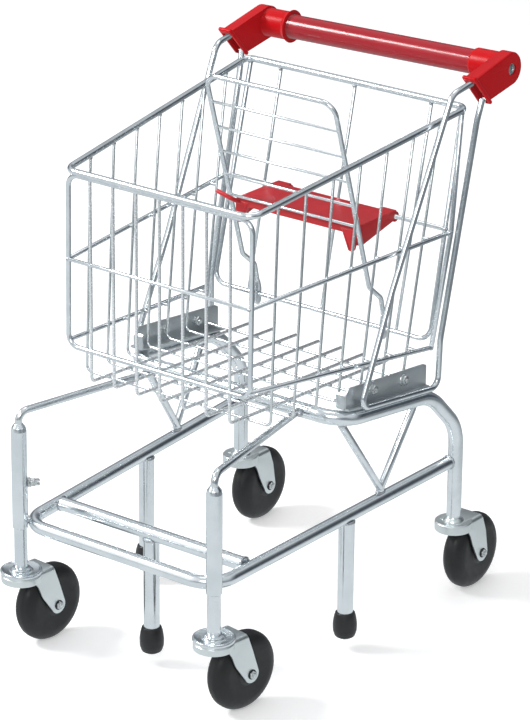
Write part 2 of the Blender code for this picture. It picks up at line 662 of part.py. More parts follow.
def handle_cap():
    lip = prism([mouth(0.0, 0.0), mouth(MOUTH_RUN, 0.0), mouth(MOUTH_RUN, 4.0), mouth(0.0, 4.0)],
                16.8, "YZ", 149.8)
    collar = lathe([(0.0, 119.0), (14.6, 119.0), (15.4, 120.6), (15.4, CAP_X), (0.0, CAP_X)],
                   28, HANDLE_CENTRE, "X")
    socket = cylinder(HANDLE_R + 0.3, 100.0, HANDLE_END + FIT, 28, HANDLE_CENTRE, "X")
    cap = cut(weld([cap_body(), lip, collar]), [socket])
    # the mouth, and clearance where the two ends of the side hoop pass through its rim
    pocket = prism([mouth(5.4, -1.0), mouth(MOUTH_RUN - 2.2, -1.0), (196.0, 559.5),
                    (172.0, 580.0)], 11.0, "YZ", 152.7)
    entries = [rod([(152.6, 131.5, 570.2), (156.6, 162.5, 575.2)], 5.2, 14),
               rod([(154.7, 173.6, 530.0), (156.8, 181.0, 558.0)], 4.7, 14)]
    return cut(cap, [pocket] + entries)


def push_handle():
    tube = cylinder(HANDLE_R, -HANDLE_END, HANDLE_END, 28, HANDLE_CENTRE, "X")
    finish("handle_tube", level(tube), HANDLE_RED)
    cap = handle_cap()
    seat_x = CAP_OUT + FIT
    screw = lathe([(0.0, seat_x), (6.2, seat_x), (5.4, seat_x + 2.0), (3.0, seat_x + 3.0),
                   (0.0, seat_x + 3.2)], 16, HANDLE_CENTRE, "X")
    # mirrored before tilting, since both ends tilt the same way round
    for side, side_cap, side_screw in (("right", cap, screw),
                                       ("left", mirrored(cap), mirrored(screw))):
        finish("handle_cap_" + side, level(side_cap), HANDLE_RED)
        finish("cap_screw_" + side, level(side_screw), WIRE_CHROME)


upper_frame()
lower_rack()
swivel_mounts()
tip_legs()
v_braces()
casters()
wire_basket()
rear_panel()
side_hoops()
basket_brackets()
seat_back()
seat_flap()
push_handle()
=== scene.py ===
import bpy
import bmesh
import math
from mathutils import Matrix, Vector


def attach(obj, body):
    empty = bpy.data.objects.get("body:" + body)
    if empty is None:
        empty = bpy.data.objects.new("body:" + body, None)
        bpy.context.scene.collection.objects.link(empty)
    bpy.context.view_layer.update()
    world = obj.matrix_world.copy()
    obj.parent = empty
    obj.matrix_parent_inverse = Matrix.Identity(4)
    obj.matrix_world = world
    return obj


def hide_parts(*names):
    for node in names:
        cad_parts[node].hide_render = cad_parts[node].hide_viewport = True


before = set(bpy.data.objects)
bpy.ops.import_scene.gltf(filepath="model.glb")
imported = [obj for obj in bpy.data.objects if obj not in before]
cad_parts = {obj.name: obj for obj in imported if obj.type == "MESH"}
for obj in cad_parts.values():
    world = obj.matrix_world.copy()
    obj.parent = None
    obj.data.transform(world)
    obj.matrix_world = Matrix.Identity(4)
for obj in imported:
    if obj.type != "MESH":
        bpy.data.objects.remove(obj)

MM = 0.001
scene = bpy.context.scene


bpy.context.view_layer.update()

# ------------------------------------------------------------ sizes (mm)
WHEEL_R, WHEEL_W = 42.0, 25.6
FORK_GAP, FORK_T = 14.3, 2.2
FX, FY = 127.4, -220.4
LX, LY = 144.9, 167.2
FRONT_TRAIL, REAR_TRAIL = 37.0, 33.2
FRONT_YAW, LEFT_YAW = math.radians(8.0), math.radians(5.0)
SLEEVE_R = 8.2
TUBE_R, RACK_R, CROSS_R, ARM_R = 7.9, 7.0, 7.4, 3.9
HOOP_R, RIM_R, RAIL_R, WIRE_R = 3.15, 3.5, 2.4, 1.5
RIM_FRONT, RIM_REAR = (118.5, -152.5, 508.0), (143.5, 172.0, 546.5)
FLOOR_FRONT, FLOOR_REAR = (-151.0, 285.9), (112.0, 272.9)
GRID_PITCH = 29.9
PANEL_Y0, PANEL_Z0, PANEL_SLOPE = 143.2, 421.9, 0.231
SEAT_LEG_X = 83.5
SEAT_PIVOT = (116.6, 307.0)
FLAP_PIVOT = (143.2, 421.9)
HANDLE = (220.0, 576.9)
HANDLE_TILT = math.radians(1.25)
HANDLE_R = 13.0


# -------------------------------------------------------------- materials
class Nodes:
    """Short hand for building a node tree."""

    def __init__(self, tree):
        self.t = tree
        self.t.nodes.clear()

    def add(self, kind, inputs=None, **props):
        n = self.t.nodes.new(kind)
        for k, v in props.items():
            setattr(n, k, v)
        for k, v in (inputs or {}).items():
            if isinstance(v, bpy.types.NodeSocket):
                self.t.links.new(v, n.inputs[k])
            else:
                n.inputs[k].default_value = v
        return n

    def noise(self, vec, scale, detail=4.0, rough=0.55, distort=0.0):
        return self.add("ShaderNodeTexNoise", {"Vector": vec, "Scale": scale, "Detail": detail,
                                               "Roughness": rough, "Distortion": distort}).outputs["Fac"]

    def spread(self, value, lo, hi, out_lo, out_hi, kind="LINEAR"):
        return self.add("ShaderNodeMapRange", {"Value": value, "From Min": lo, "From Max": hi, "To Min": out_lo,
                                               "To Max": out_hi}, interpolation_type=kind).outputs["Result"]

    def mix(self, fac, a, b, blend="MIX"):
        n = self.add("ShaderNodeMix", data_type="RGBA", blend_type=blend)
        for key, v in ((0, fac), (6, a), (7, b)):
            if isinstance(v, bpy.types.NodeSocket):
                self.t.links.new(v, n.inputs[key])
            else:
                n.inputs[key].default_value = v
        return n.outputs[2]

    def math(self, op, a, b=0.5, clamp=False):
        n = self.add("ShaderNodeMath", operation=op, use_clamp=clamp)
        for key, v in ((0, a), (1, b)):
            if isinstance(v, bpy.types.NodeSocket):
                self.t.links.new(v, n.inputs[key])
            else:
                n.inputs[key].default_value = v
        return n.outputs[0]


def rgba(c):
    return (c[0], c[1], c[2], 1.0)


def surface(name, base, second, rough, metallic=0.0, cloud=45.0, grain=900.0, bump=0.12, coat=0.0, wear=None,
            specks=None, sheen=0.0, stretch=(1.0, 1.0, 1.0), spec=0.5):
    """Procedural surface: broad tone clouds, fine grain in roughness and height, optional edge wear and specks."""
    m = bpy.data.materials.new(name)
    m.use_nodes = True
    n = Nodes(m.node_tree)
    co = n.add("ShaderNodeTexCoord").outputs["Object"]
    co = n.add("ShaderNodeMapping", {"Vector": co, "Scale": stretch}).outputs["Vector"]
    broad = n.noise(co, cloud, 5.0, 0.6, 0.3)
    fine = n.noise(co, grain, 3.0, 0.5)
    mid = n.noise(co, cloud * 5.0, 4.0, 0.55, 0.2)
    colour = n.mix(n.spread(broad, 0.32, 0.7, 0.0, 1.0, "SMOOTHSTEP"), rgba(base), rgba(second))
    r = n.spread(mid, 0.3, 0.72, rough[0], rough[1])
    r = n.math("ADD", r, n.spread(fine, 0.3, 0.7, -0.03, 0.03))
    if wear is not None:
        point = n.add("ShaderNodeNewGeometry").outputs["Pointiness"]
        edge = n.spread(point, 0.515, 0.56, 0.0, 1.0, "SMOOTHSTEP")
        edge = n.math("MULTIPLY", edge, n.spread(mid, 0.35, 0.65, 0.2, 1.0))
        colour = n.mix(n.math("MULTIPLY", edge, 0.6), colour, rgba(wear))
    if specks is not None:
        spot = n.noise(co, 260.0, 2.0, 0.5)
        colour = n.mix(n.spread(spot, 0.63, 0.7, 0.0, 0.7, "SMOOTHSTEP"), colour, rgba(specks))
    height = n.math("ADD", n.math("MULTIPLY", fine, 0.55), n.math("MULTIPLY", mid, 0.45))
    normal = n.add("ShaderNodeBump", {"Strength": bump, "Distance": 0.0004, "Height": height}).outputs["Normal"]
    shade = n.add("ShaderNodeBsdfPrincipled", {"Base Color": colour, "Roughness": r, "Metallic": metallic,
                                               "Normal": normal, "Coat Weight": coat, "Coat Roughness": 0.12,
                                               "Sheen Weight": sheen, "Specular IOR Level": spec})
    out = n.add("ShaderNodeOutputMaterial")
    m.node_tree.links.new(shade.outputs["BSDF"], out.inputs["Surface"])
    m.diffuse_color = rgba(base)
    return m


ZINC = surface("bright_zinc", (0.79, 0.825, 0.845), (0.67, 0.71, 0.735), (0.12, 0.23), 1.0, 38.0, 1100.0, 0.04,
               wear=(0.9, 0.92, 0.94))
ZINC_TUBE = surface("bright_zinc_tube", (0.83, 0.865, 0.885), (0.74, 0.785, 0.81), (0.15, 0.25), 1.0, 24.0, 900.0, 0.04)
ZINC_WIRE = surface("bright_zinc_wire", (0.80, 0.83, 0.835), (0.68, 0.715, 0.725), (0.14, 0.27), 1.0, 60.0, 1400.0, 0.06)
# front wires: a lighter, less metallic copy of the wire zinc, with painted light standing in for the bright front floor
# they reflect
ZINC_FRONT_PAINTED_LIGHT = surface("bright_zinc_front_wire_painted_light", (0.86, 0.885, 0.90), (0.77, 0.80, 0.82), (0.2, 0.32), 0.72, 60.0, 1400.0,
                     0.05)
WELD = surface("weld_metal", (0.62, 0.645, 0.665), (0.44, 0.465, 0.49), (0.26, 0.46), 1.0, 150.0, 1600.0, 0.3,
               specks=(0.36, 0.35, 0.33))
SHEET = surface("zinc_sheet", (0.78, 0.825, 0.825), (0.69, 0.735, 0.74), (0.30, 0.38), 0.95, 14.0, 600.0, 0.005)
STRAP = surface("zinc_bracket_sheet", (0.63, 0.665, 0.68), (0.54, 0.575, 0.59), (0.36, 0.46), 0.9, 12.0, 600.0, 0.006)
BOLT = surface("plated_bolt", (0.60, 0.63, 0.64), (0.42, 0.45, 0.46), (0.2, 0.34), 1.0, 90.0, 1300.0, 0.06,
               wear=(0.9, 0.9, 0.9))
RED = surface("red_plastic", (0.60, 0.006, 0.010), (0.55, 0.004, 0.008), (0.28, 0.36), 0.0, 14.0, 1200.0, 0.03,
              spec=0.14)
RED_TUBE = surface("red_handle", (0.40, 0.010, 0.020), (0.35, 0.007, 0.015), (0.16, 0.22), 0.0, 14.0, 1000.0, 0.02,
                   spec=0.45)
RED_SEAT = surface("red_seat", (0.58, 0.010, 0.016), (0.52, 0.007, 0.012), (0.30, 0.38), 0.0, 18.0, 1200.0, 0.04,
                   spec=0.55)
TYRE = surface("tyre_rubber", (0.012, 0.0125, 0.013), (0.019, 0.0195, 0.020), (0.38, 0.52), 0.0, 26.0, 1500.0, 0.10,
               spec=0.4)
FOOT = surface("foot_rubber", (0.014, 0.014, 0.0155), (0.022, 0.022, 0.0235), (0.36, 0.5), 0.0, 60.0, 1500.0, 0.12,
               spec=0.45)
HUB = surface("hub_plastic", (0.016, 0.0165, 0.018), (0.026, 0.0265, 0.028), (0.38, 0.55), 0.0, 50.0, 1200.0, 0.1)
DARK = surface("dark_recess", (0.012, 0.012, 0.013), (0.024, 0.024, 0.026), (0.5, 0.7), 0.0, 90.0, 1200.0, 0.1)


# ---------------------------------------------------------- shape building
def fillet(points, radius, step=7.0, closed=False):
    """Round the corners of a path; radius is one number or one per point."""
    pts = [Vector(p) for p in points]
    n = len(pts)
    out = []
    for i, p in enumerate(pts):
        r = radius[i] if isinstance(radius, (list, tuple)) else radius
        if (not closed and i in (0, n - 1)) or r <= 0:
            out.append(p)
            continue
        a = (pts[i - 1] - p).normalized()
        b = (pts[(i + 1) % n] - p).normalized()
        half = a.angle(b) / 2.0
        turn = math.pi - 2.0 * half
        if turn < 1e-3:
            out.append(p)
            continue
        reach = r / math.tan(half)
        centre = p + (a + b).normalized() * (r / math.sin(half))
        start = p + a * reach - centre
        axis = start.cross(p + b * reach - centre).normalized()
        k = max(2, int(math.ceil(math.degrees(turn) / step)))
        for j in range(k + 1):
            out.append(centre + Matrix.Rotation(turn * j / k, 3, axis) @ start)
    return out


def round_outline(outline, radius, step=15.0, closed=True):
    """Round the corners of a flat outline given as pairs."""
    return [(p.x, p.y) for p in fillet([(a, b, 0.0) for a, b in outline], radius, step, closed)]


def arc(cx, cy, r, a0, a1, n):
    return [(cx + r * math.cos(math.radians(a0 + (a1 - a0) * i / n)),
             cy + r * math.sin(math.radians(a0 + (a1 - a0) * i / n))) for i in range(n + 1)]


class Shape:
    """Closed shells gathered into one piece, in millimetres."""

    def __init__(self):
        self.verts, self.faces, self.slots = [], [], []

    def put(self, verts, faces, slot=0):
        k = len(self.verts)
        self.verts += [tuple(v) for v in verts]
        self.faces += [tuple(k + i for i in f) for f in faces]
        self.slots += [slot] * len(faces)
        return self

    def mesh(self, me, slot=0):
        self.put([v.co for v in me.vertices], [tuple(p.vertices) for p in me.polygons], slot)
        bpy.data.meshes.remove(me)
        return self

    def tube(self, points, radius, sides=18, bend=0.0, closed=False, step=7.0, dome=0.45, slot=0, flat=None):
        """Round bar swept along a path, with domed ends; flat is not used."""
        path = fillet(points, bend, step, closed) if bend else [Vector(p) for p in points]
        n = len(path)
        tang = []
        for i in range(n):
            if closed:
                a = (path[i] - path[i - 1]).normalized()
                b = (path[(i + 1) % n] - path[i]).normalized()
            else:
                a = (path[i] - path[max(i - 1, 0)]).normalized() if i else Vector()
                b = (path[min(i + 1, n - 1)] - path[i]).normalized() if i < n - 1 else Vector()
            tang.append((a + b).normalized())
        up = tang[0].orthogonal().normalized()
        frames = []
        for t in tang:
            up = (up - t * up.dot(t)).normalized()
            frames.append(up.copy())
        twist = 0.0
        if closed:
            last = (up - tang[0] * up.dot(tang[0])).normalized()
            twist = math.atan2(tang[0].dot(last.cross(frames[0])), last.dot(frames[0]))
        rings = []
        for i, t in enumerate(tang):
            u = Matrix.Rotation(twist * i / n, 3, t) @ frames[i]
            w = t.cross(u)
            rings.append([path[i] + (u * math.cos(2 * math.pi * k / sides) + w * math.sin(2 * math.pi * k / sides)) * radius
                          for k in range(sides)])
        verts = [p for ring in rings for p in ring]
        faces = []

        def bridge(a, b):
            for k in range(sides):
                k2 = (k + 1) % sides
                faces.append((a + k, a + k2, b + k2, b + k))

        for i in range(n if closed else n - 1):
            bridge(i * sides, ((i + 1) % n) * sides)
        if not closed:
            for end, sign in ((0, -1.0), (n - 1, 1.0)):
                t = tang[end] * sign
                prev = end * sides
                for turn in (30.0, 60.0):
                    c, s = math.cos(math.radians(turn)), math.sin(math.radians(turn))
                    start = len(verts)
                    verts += [path[end] + (p - path[end]) * c + t * radius * dome * s for p in rings[end]]
                    bridge(prev, start)
                    prev = start
                verts.append(path[end] + t * radius * dome)
                tip = len(verts) - 1
                faces.extend((prev + k, prev + (k + 1) % sides, tip) for k in range(sides))
        return self.put(verts, faces, slot)

    def lathe(self, profile, steps=48, centre=(0, 0, 0), axis="Z", slot=0, wobble=0.0):
        """Turned solid from an (r, h) outline spun about an axis."""
        if axis == "X":
            place = lambda r, h, a: (h, r * math.sin(a), r * math.cos(a))
        elif axis == "Y":
            place = lambda r, h, a: (r * math.cos(a), h, r * math.sin(a))
        else:
            place = lambda r, h, a: (r * math.cos(a), r * math.sin(a), h)
        verts, index = [], []
        for r, h in profile:
            if r < 1e-6:
                index.append([len(verts)] * steps)
                verts.append(place(0.0, h, 0.0))
            else:
                index.append(list(range(len(verts), len(verts) + steps)))
                verts += [place(r, h, 2 * math.pi * k / steps) for k in range(steps)]
        faces = []
        n = len(profile)
        open_ends = profile[0][0] < 1e-6 and profile[-1][0] < 1e-6
        for i in range(n - 1 if open_ends else n):
            a, b = index[i], index[(i + 1) % n]
            for k in range(steps):
                k2 = (k + 1) % steps
                quad = []
                for v in (a[k], a[k2], b[k2], b[k]):
                    if v not in quad:
                        quad.append(v)
                if len(quad) > 2:
                    faces.append(tuple(quad))
        c = Vector(centre)
        return self.put([Vector(v) + c for v in verts], faces, slot)

    def bead(self, p, size, slot=0, sides=12, rings=7):
        """Small rounded nugget of weld metal; size is one radius or one per axis."""
        sx, sy, sz = size if isinstance(size, (tuple, list)) else (size, size, size)
        verts, faces = [(p[0], p[1], p[2] + sz)], []
        for j in range(1, rings):
            t = math.pi * j / rings
            for k in range(sides):
                a = 2 * math.pi * k / sides
                lump = 1.0 + 0.09 * math.sin(3 * a + p[0] * 1.7 + p[1]) * math.sin(t)
                verts.append((p[0] + sx * lump * math.sin(t) * math.cos(a),
                              p[1] + sy * lump * math.sin(t) * math.sin(a), p[2] + sz * math.cos(t)))
        verts.append((p[0], p[1], p[2] - sz))
        tip = len(verts) - 1
        for k in range(sides):
            k2 = (k + 1) % sides
            faces.append((0, 1 + k, 1 + k2))
            for j in range(rings - 2):
                a, b = 1 + j * sides, 1 + (j + 1) * sides
                faces.append((a + k, b + k, b + k2, a + k2))
            faces.append((1 + (rings - 2) * sides + k, tip, 1 + (rings - 2) * sides + k2))
        return self.put(verts, faces, slot)

    def seam(self, centre, axis, radius, thick=1.5, slot=0, sides=9, steps=44, oval=1.0):
        """Ring of weld metal round a tube, a little uneven like a hand-laid bead."""
        c, t = Vector(centre), Vector(axis).normalized()
        u = t.orthogonal().normalized()
        w = t.cross(u)
        verts, faces = [], []
        for i in range(steps):
            a = 2 * math.pi * i / steps
            out = u * math.cos(a) + w * math.sin(a) * oval
            fat = thick * (1.0 + 0.16 * math.sin(11 * a + 0.7) + 0.08 * math.sin(23 * a))
            for k in range(sides):
                b = 2 * math.pi * k / sides
                verts.append(c + out * (radius + fat * math.cos(b)) + t * fat * math.sin(b))
        for i in range(steps):
            for k in range(sides):
                i2, k2 = (i + 1) % steps, (k + 1) % sides
                faces.append((i * sides + k, i * sides + k2, i2 * sides + k2, i2 * sides + k))
        return self.put(verts, faces, slot)

    def moved(self, matrix, start=0):
        for i in range(start, len(self.verts)):
            self.verts[i] = tuple(matrix @ Vector(self.verts[i]))
        return self

    def build(self, name, body, mats, nodes=(), finish=None, angle=36.0):
        me = bpy.data.meshes.new(name)
        me.from_pydata([(x * MM, y * MM, z * MM) for x, y, z in self.verts], [], self.faces)
        for m in mats if isinstance(mats, (list, tuple)) else [mats]:
            me.materials.append(m)
        me.polygons.foreach_set("material_index", self.slots)
        bm = bmesh.new()
        bm.from_mesh(me)
        bmesh.ops.recalc_face_normals(bm, faces=bm.faces)
        bm.to_mesh(me)
        bm.free()
        me.validate()
        me.shade_smooth()
        me.set_sharp_from_angle(angle=math.radians(angle))
        ob = bpy.data.objects.new(name, me)
        scene.collection.objects.link(ob)
        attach(ob, body)
        if nodes:
            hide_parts(*nodes)
        if finish == "red_plastic":
            ob.visible_glossy = False
        return ob


def plate(outline, depth, plane="YZ", start=0.0, edge=0.5, segments=3):
    """Flat outline pushed along the remaining axis; when edge is above zero, the edges round its two flat faces are
    softly rounded.
    """
    bm = bmesh.new()
    put = {"YZ": lambda a, b: (start, a, b), "XY": lambda a, b: (a, b, start),
           "XZ": lambda a, b: (a, start, b)}[plane]
    push = {"YZ": (depth, 0, 0), "XY": (0, 0, depth), "XZ": (0, depth, 0)}[plane]
    face = bm.faces.new([bm.verts.new(put(a, b)) for a, b in outline])
    ext = bmesh.ops.extrude_face_region(bm, geom=[face])
    bmesh.ops.translate(bm, vec=push, verts=[g for g in ext["geom"] if isinstance(g, bmesh.types.BMVert)])
    bmesh.ops.recalc_face_normals(bm, faces=bm.faces)
    if edge > 0:
        axis = {"YZ": 0, "XY": 2, "XZ": 1}[plane]
        rims = [e for e in bm.edges if abs(e.verts[0].co[axis] - e.verts[1].co[axis]) < 1e-4]
        bmesh.ops.bevel(bm, geom=rims, offset=edge, segments=segments, affect="EDGES", profile=0.5,
                        clamp_overlap=True)
    me = bpy.data.meshes.new("plate")
    bm.to_mesh(me)
    bm.free()
    return me


def to_mesh(shape):
    me = bpy.data.meshes.new("solid")
    me.from_pydata([tuple(v) for v in shape.verts], [], shape.faces)
    bm = bmesh.new()
    bm.from_mesh(me)
    bmesh.ops.recalc_face_normals(bm, faces=bm.faces)
    bm.to_mesh(me)
    bm.free()
    return me


def combine(base, others, operation="UNION"):
    """Join solids into one skin, or cut them away from the first one."""
    group = bpy.data.collections.new("operands")
    made = []
    for me in others:
        o = bpy.data.objects.new("operand", me)
        group.objects.link(o)
        made.append(o)
    ob = bpy.data.objects.new("base", base)
    scene.collection.objects.link(ob)
    scene.collection.children.link(group)
    mod = ob.modifiers.new("Boolean", "BOOLEAN")
    mod.operation = operation
    mod.solver = "EXACT"
    mod.operand_type = "COLLECTION"
    mod.collection = group
    dg = bpy.context.evaluated_depsgraph_get()
    dg.update()
    out = bpy.data.meshes.new_from_object(ob.evaluated_get(dg))
    for o in made + [ob]:
        bpy.data.objects.remove(o, do_unlink=True)
    bpy.data.collections.remove(group)
    return out


def soften(me, width, segments=3, angle=40.0):
    """Round the sharp edges of a mesh."""
    ob = bpy.data.objects.new("soften", me)
    scene.collection.objects.link(ob)
    mod = ob.modifiers.new("Bevel", "BEVEL")
    mod.width = width
    mod.segments = segments
    mod.limit_method = "ANGLE"
    mod.angle_limit = math.radians(angle)
    mod.use_clamp_overlap = True
    mod.miter_outer = "MITER_ARC"
    dg = bpy.context.evaluated_depsgraph_get()
    dg.update()
    out = bpy.data.meshes.new_from_object(ob.evaluated_get(dg))
    bpy.data.objects.remove(ob, do_unlink=True)
    return out


def panel_y(z):
    return PANEL_Y0 + PANEL_SLOPE * (z - PANEL_Z0)


def tube_z(y):
    return 263.2 - (y + 5.0) * 0.122


def rack_x(y):
    return 125.6 + (y + 188.0) * 0.0462


def rack_z(y):
    return 142.3 + (y + 218.0) * 0.037


def floor_z(y):
    t = (y - FLOOR_FRONT[0]) / (FLOOR_REAR[0] - FLOOR_FRONT[0])
    return FLOOR_FRONT[1] + (FLOOR_REAR[1] - FLOOR_FRONT[1]) * t


def along(a, b, y):
    t = (y - a[1]) / (b[1] - a[1])
    return tuple(p + (q - p) * t for p, q in zip(a, b))


CROSS_Y, CROSS_Z = -163.5, rack_z(-163.5) + 2.2
SIDES = (("right", 1.0), ("left", -1.0))

# ----------------------------------------------------------------- basket
rim = Shape()
rim_pts = [RIM_FRONT, RIM_REAR, (-RIM_REAR[0],) + RIM_REAR[1:], (-RIM_FRONT[0],) + RIM_FRONT[1:]]
rim.tube(rim_pts, RIM_R, 28, [14, 10, 10, 14], closed=True, step=4.0)
rim.build("basket_rim", "chassis", ZINC, ["wire_basket"], "bright_zinc")

fy = RIM_FRONT[1]
hx = RIM_FRONT[0] - 1.5
rails = Shape()
rails.tube([(hx + 0.6, fy + 2.6, 503.4), (hx + 0.6, fy, 320.0), (-hx - 0.6, fy, 320.0), (-hx - 0.6, fy + 2.6, 503.4)],
           RAIL_R + 0.3, 22, [13, 13, 13, 13], closed=True, step=6.0)
rails.tube([(hx, fy - 0.5, 413.5), (-hx, fy - 0.5, 413.5)], 1.95, 18)
mid_end = (148.6, 141.8, 421.2)
low_end = (148.0, 112.0, 302.4)
for side, s in SIDES:
    rails.tube([(s * hx, fy, 413.5), (s * mid_end[0], mid_end[1], mid_end[2])], RAIL_R, 20)
    rails.tube([(s * hx, fy, 326.0), (s * low_end[0], low_end[1], low_end[2])], RAIL_R, 20)
    rails.tube([(s * 143.6, 162.5, 544.5), (s * mid_end[0], mid_end[1], mid_end[2]),
                (s * low_end[0], low_end[1], low_end[2] - 2.0)], RAIL_R + 0.2, 20, [0, 30, 0])
rails.build("basket_rails", "chassis", ZINC, (), "bright_zinc")

wires = Shape()
beads = Shape()
for i in range(-3, 4):
    x = i * GRID_PITCH
    wires.tube([(x, fy + 3.2, 507.6), (x, fy + 3.0, FLOOR_FRONT[1]),
                (x, FLOOR_REAR[0] + 3.0, floor_z(FLOOR_REAR[0] + 3.0))], WIRE_R + 0.25, 16, [0, 5.5, 0])
    beads.bead((x, fy + 2.6, 506.0), (2.1, 1.5, 2.0))
    beads.bead((x, fy + 1.2, 413.5), (2.0, 1.7, 1.7))
    beads.bead((x, fy + 1.6, 320.2), (2.0, 1.6, 2.0))
ends = []
for i in range(7):
    top_y = -112.7 + i * 40.6
    low_y = -121.9 + i * 34.6
    rp = along(RIM_FRONT, RIM_REAR, top_y)
    tx = rp[0] - 1.6
    bx = 119.9 + i * 1.9
    lz = floor_z(low_y) - 2.6
    pts = [(tx, top_y, rp[2] - 0.4), (bx, low_y, lz), (-bx, low_y, lz), (-tx, top_y, rp[2] - 0.4)]
    wires.tube(pts, WIRE_R, 14, [0, 6.5, 6.5, 0], slot=1)
    for side, s in SIDES:
        beads.bead((s * (tx - 0.2), top_y, rp[2] - 3.0), (1.7, 2.2, 1.9))
        for a, b in ((( hx, fy, 413.5), mid_end), ((hx, fy, 326.0), low_end)):
            # where this wire passes the rail
            k = 0.5
            for _ in range(30):
                y = top_y + (low_y - top_y) * k
                z = rp[2] + (lz - rp[2]) * k
                k += (z - along(a, b, y)[2]) / (rp[2] - lz)
            q = along(a, b, y)
            wx = tx + (bx - tx) * k
            beads.bead((s * (q[0] + wx) / 2.0, y, q[2]), (abs(q[0] - wx) / 2.0 + 1.2, 2.0, 1.9))
    for j in range(-3, 4):
        beads.bead((j * GRID_PITCH, low_y, lz + 1.6), (1.9, 1.9, 1.3), sides=9, rings=6)
# slot 0, the front wires, takes the zinc copy with painted light; slot 1 takes the plain wire zinc
wires.build("basket_wires", "chassis", [ZINC_FRONT_PAINTED_LIGHT, ZINC_WIRE], (), "bright_zinc")
for side, s in SIDES:
    beads.bead((s * (hx - 8.0), fy, 504.7), (3.4, 2.4, 1.7))
    beads.bead((s * (hx - 0.6), fy - 0.2, 413.5), (3.0, 2.4, 2.3))
    beads.bead((s * hx, fy + 1.4, 326.2), (2.6, 3.2, 2.4))
    beads.bead((s * mid_end[0], mid_end[1] - 1.0, mid_end[2]), (2.8, 3.4, 2.6))
    beads.bead((s * low_end[0], low_end[1] - 0.6, low_end[2]), (2.8, 3.2, 2.6))
    beads.bead((s * 143.7, 162.2, 542.6), (2.9, 2.9, 2.3))
beads.build("basket_welds", "chassis", WELD, (), "bright_zinc")

# ------------------------------------------------------------- rear panel
pz = SEAT_PIVOT[1]
top_z = RIM_REAR[2] - RIM_R - 0.6
rear = Shape()
rear.tube([(137.5, panel_y(top_z), top_z), (142.4, panel_y(pz), pz), (-142.4, panel_y(pz), pz),
           (-137.5, panel_y(top_z), top_z)], RAIL_R, 20, [0, 14, 14, 0])
rear.tube([(-140.4, PANEL_Y0, PANEL_Z0), (140.4, PANEL_Y0, PANEL_Z0)], RAIL_R, 20)
for x in (-98.0, 0.0, 98.0):
    rear.tube([(x, panel_y(top_z) + 2.4, top_z + 0.2), (x, panel_y(pz) + 2.6, pz - 1.5)], WIRE_R + 0.2, 14)
rear.build("rear_panel_rods", "chassis", ZINC, ["rear_panel"], "bright_zinc")
knots = Shape()
for x in (-98.0, 0.0, 98.0):
    knots.bead((x, panel_y(top_z) + 1.0, top_z - 0.4), (2.2, 2.2, 2.0))
    knots.bead((x, PANEL_Y0 + 1.6, PANEL_Z0), (2.1, 1.9, 1.9))
    knots.bead((x, panel_y(pz) + 1.8, pz - 0.6), (2.1, 1.9, 2.0))
for side, s in SIDES:
    knots.bead((s * 140.4, PANEL_Y0, PANEL_Z0), (2.6, 2.8, 2.8))
    knots.bead((s * 137.6, panel_y(top_z), top_z + 0.2), (2.7, 2.7, 1.8))
knots.build("rear_panel_welds", "chassis", WELD, (), "bright_zinc")

# ------------------------------------------------------------ upper frame
half = [(LX, LY, 91.5), (LX, LY, 196.0), (LX - 1.5, 118.0, tube_z(118.0) - 2.0), (140.0, -30.0, 262.8)]
upper = Shape()
upper.tube(half + [(-x, y, z) for x, y, z in reversed(half)], TUBE_R, 36, [0, 52, 60, 30, 30, 60, 52, 0], step=3.0,
           dome=0.05)
upper.build("upper_frame", "chassis", ZINC_TUBE, ["upper_frame_tube"], "bright_zinc")

side = [(rack_x(150.0) + 0.4, LY - TUBE_R - 0.4, rack_z(158.0)), (124.8, -217.8, rack_z(-217.8))]
rack = Shape()
rack.tube(side + [(-x, y, z) for x, y, z in reversed(side)], RACK_R, 32, [0, 30, 30, 0], step=4.0, dome=0.02)
rack.build("lower_rack", "chassis", ZINC_TUBE, ["lower_rack_tube"], "bright_zinc")
cx = rack_x(-160.0) - RACK_R + 0.6
cross = Shape()
cross.tube([(-cx, CROSS_Y, CROSS_Z), (cx, CROSS_Y, CROSS_Z)], CROSS_R, 32, dome=0.02)
cross.build("lower_cross_tube", "chassis", ZINC_TUBE, ["rack_cross_tube"], "bright_zinc")

seams = Shape()
for tag, s in SIDES:
    seams.seam((s * (rack_x(150.0) + 0.4), LY - TUBE_R - 0.2, rack_z(158.0)), (0, 1, 0), RACK_R - 0.2, 1.3)
    seams.seam((s * (cx - 0.2), CROSS_Y, CROSS_Z), (1, 0, 0), CROSS_R - 0.2, 1.2)
    seams.bead((s * 125.2, -214.0, rack_z(-214.0) + 3.0), (7.5, 3.6, 4.4), sides=20, rings=12)

